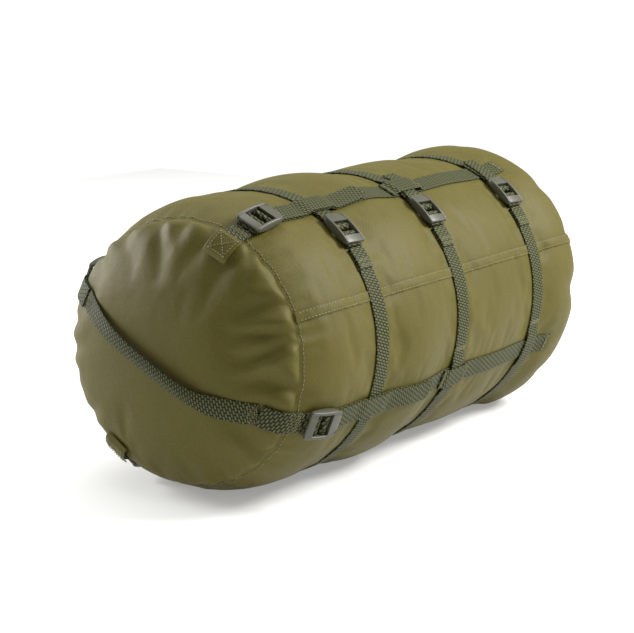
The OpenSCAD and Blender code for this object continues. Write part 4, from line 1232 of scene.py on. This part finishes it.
# Heights of a stitch on one layer of webbing and on two
top_1, top_2 = gap + web_t + 0.12, gap + layer + web_t + 0.12
web_runs = []
for name, deg in STRAPS.items():
    # Anchors, near the panel's seam
    web_runs += bar_tack(lambda x, t: web_place(4.5 - t, x, deg, top_2), 5, 0.8)
    # Keepers, at each end
    for s0, way in ((GIRTHS["b"] - 21.5, 1), (GIRTHS["b"] + 21.5 + KEEPER_MORE[name], -1)):
        web_runs += bar_tack(lambda x, t: web_place(s0 + way * t, x, deg, top_2), 4, 0.9)
    # Lengthwise straps, at the far end
    web_runs += bar_tack(lambda x, t: web_place(strap_end_s - 3 - t, x, deg, top_1), 5, 0.55)
for name, s in GIRTHS.items():
    # Where each girth strap's anchor end is doubled back
    for back in (12.0, 17.0):
        a0 = girth_fold_a + turn_deg(back)
        web_runs += bar_tack(lambda x, t: on_sack(s + x, a0 + turn_deg(t), top_2), 4, 0.8)
    if name != "a":
        # A girth strap over the lengthwise straps is tacked to the cloth beside strap 2
        a0 = STRAPS["2"] - web_a - turn_deg(17)
        web_runs += bar_tack(lambda x, t: on_sack(s + x, a0 - turn_deg(t), top_1), 5, 0.8)
sew("webbing_bar_tacks", "sack", "webbing", web_runs, pitch=1.7, long=1.5, thread=0.5)

handle_runs = []
for i in (*range(1, 6), *range(len(lows) - 6, len(lows) - 1)):
    top = lows[i] + outs[i] * (web_t * 0.97 + 0.62)
    handle_runs.append([top + across_h[i] * x for x in np.linspace(-7, 7, 8)])
sew("handle_end_stitches", "handle", "webbing", handle_runs, pitch=1.8, long=1.5, thread=0.55)

# ---------------------------------------------------------------------------------------------
# Studio: white paper below and behind, a key light at the front, a soft light above and a rim
# light from behind, which draws the upper left edge
floor_half = 1700
floor = make_mesh("floor", [(-floor_half, -floor_half, 0), (floor_half, -floor_half, 0),
                            (floor_half, floor_half, 0), (-floor_half, floor_half, 0)],
                  [(0, 1, 2, 3)])
paper, tree, shader = new_material("white_paper")
plug(tree, shader, {"Base Color": colour("#d6d6d4"), "Roughness": 0.8,
                    "Emission Color": colour("#ffffff"), "Emission Strength": 0.28})
floor.data.materials.append(paper)
floor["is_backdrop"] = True

bpy.context.scene.view_settings.view_transform = "Standard"
world = bpy.data.worlds.new("studio")
world.use_nodes = True
tree = world.node_tree
# The backdrop is seen brighter than the light that it throws
path = add(tree, "ShaderNodeLightPath")
seen_at = add(tree, "ShaderNodeMapRange", {0: path.outputs["Is Camera Ray"], 3: 0.42, 4: 1.05})
plug(tree, tree.nodes["Background"], {0: colour("#ffffff"), 1: seen_at})
bpy.context.scene.world = world
for name, where, aim, watts, size in (
        ("key_light", (1.1, -1.5, 1.7), (0.0, 0.0, 0.12), 105, 0.9),
        ("top_light", (0.2, 0.5, 2.2), (0.0, 0.0, 0.1), 26, 1.6),
        ("rim_light", (-0.45, 1.9, 0.8), (-0.2, 0.0, 0.12), 46, 0.7)):
    lamp = bpy.data.lights.new(name, "AREA")
    lamp.energy, lamp.size = watts, size
    light = place_in_scene(name, lamp)
    light.location = where
    light.rotation_euler = (Vector(aim) - Vector(where)).to_track_quat("-Z", "Y").to_euler()

camera_data = bpy.data.cameras.new("camera")
camera_data.sensor_fit = "HORIZONTAL"
camera_data.sensor_width = 36.0
camera_data.lens = 18.0 / 0.191
camera = place_in_scene("camera", camera_data)
camera.location = Vector((seam_x - 1084.1, -917, 452)) / 1000
camera.rotation_euler = Vector((0.797, 0.569, -0.201)).to_track_quat("-Z", "Y").to_euler()
bpy.context.scene.camera = camera

low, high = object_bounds()
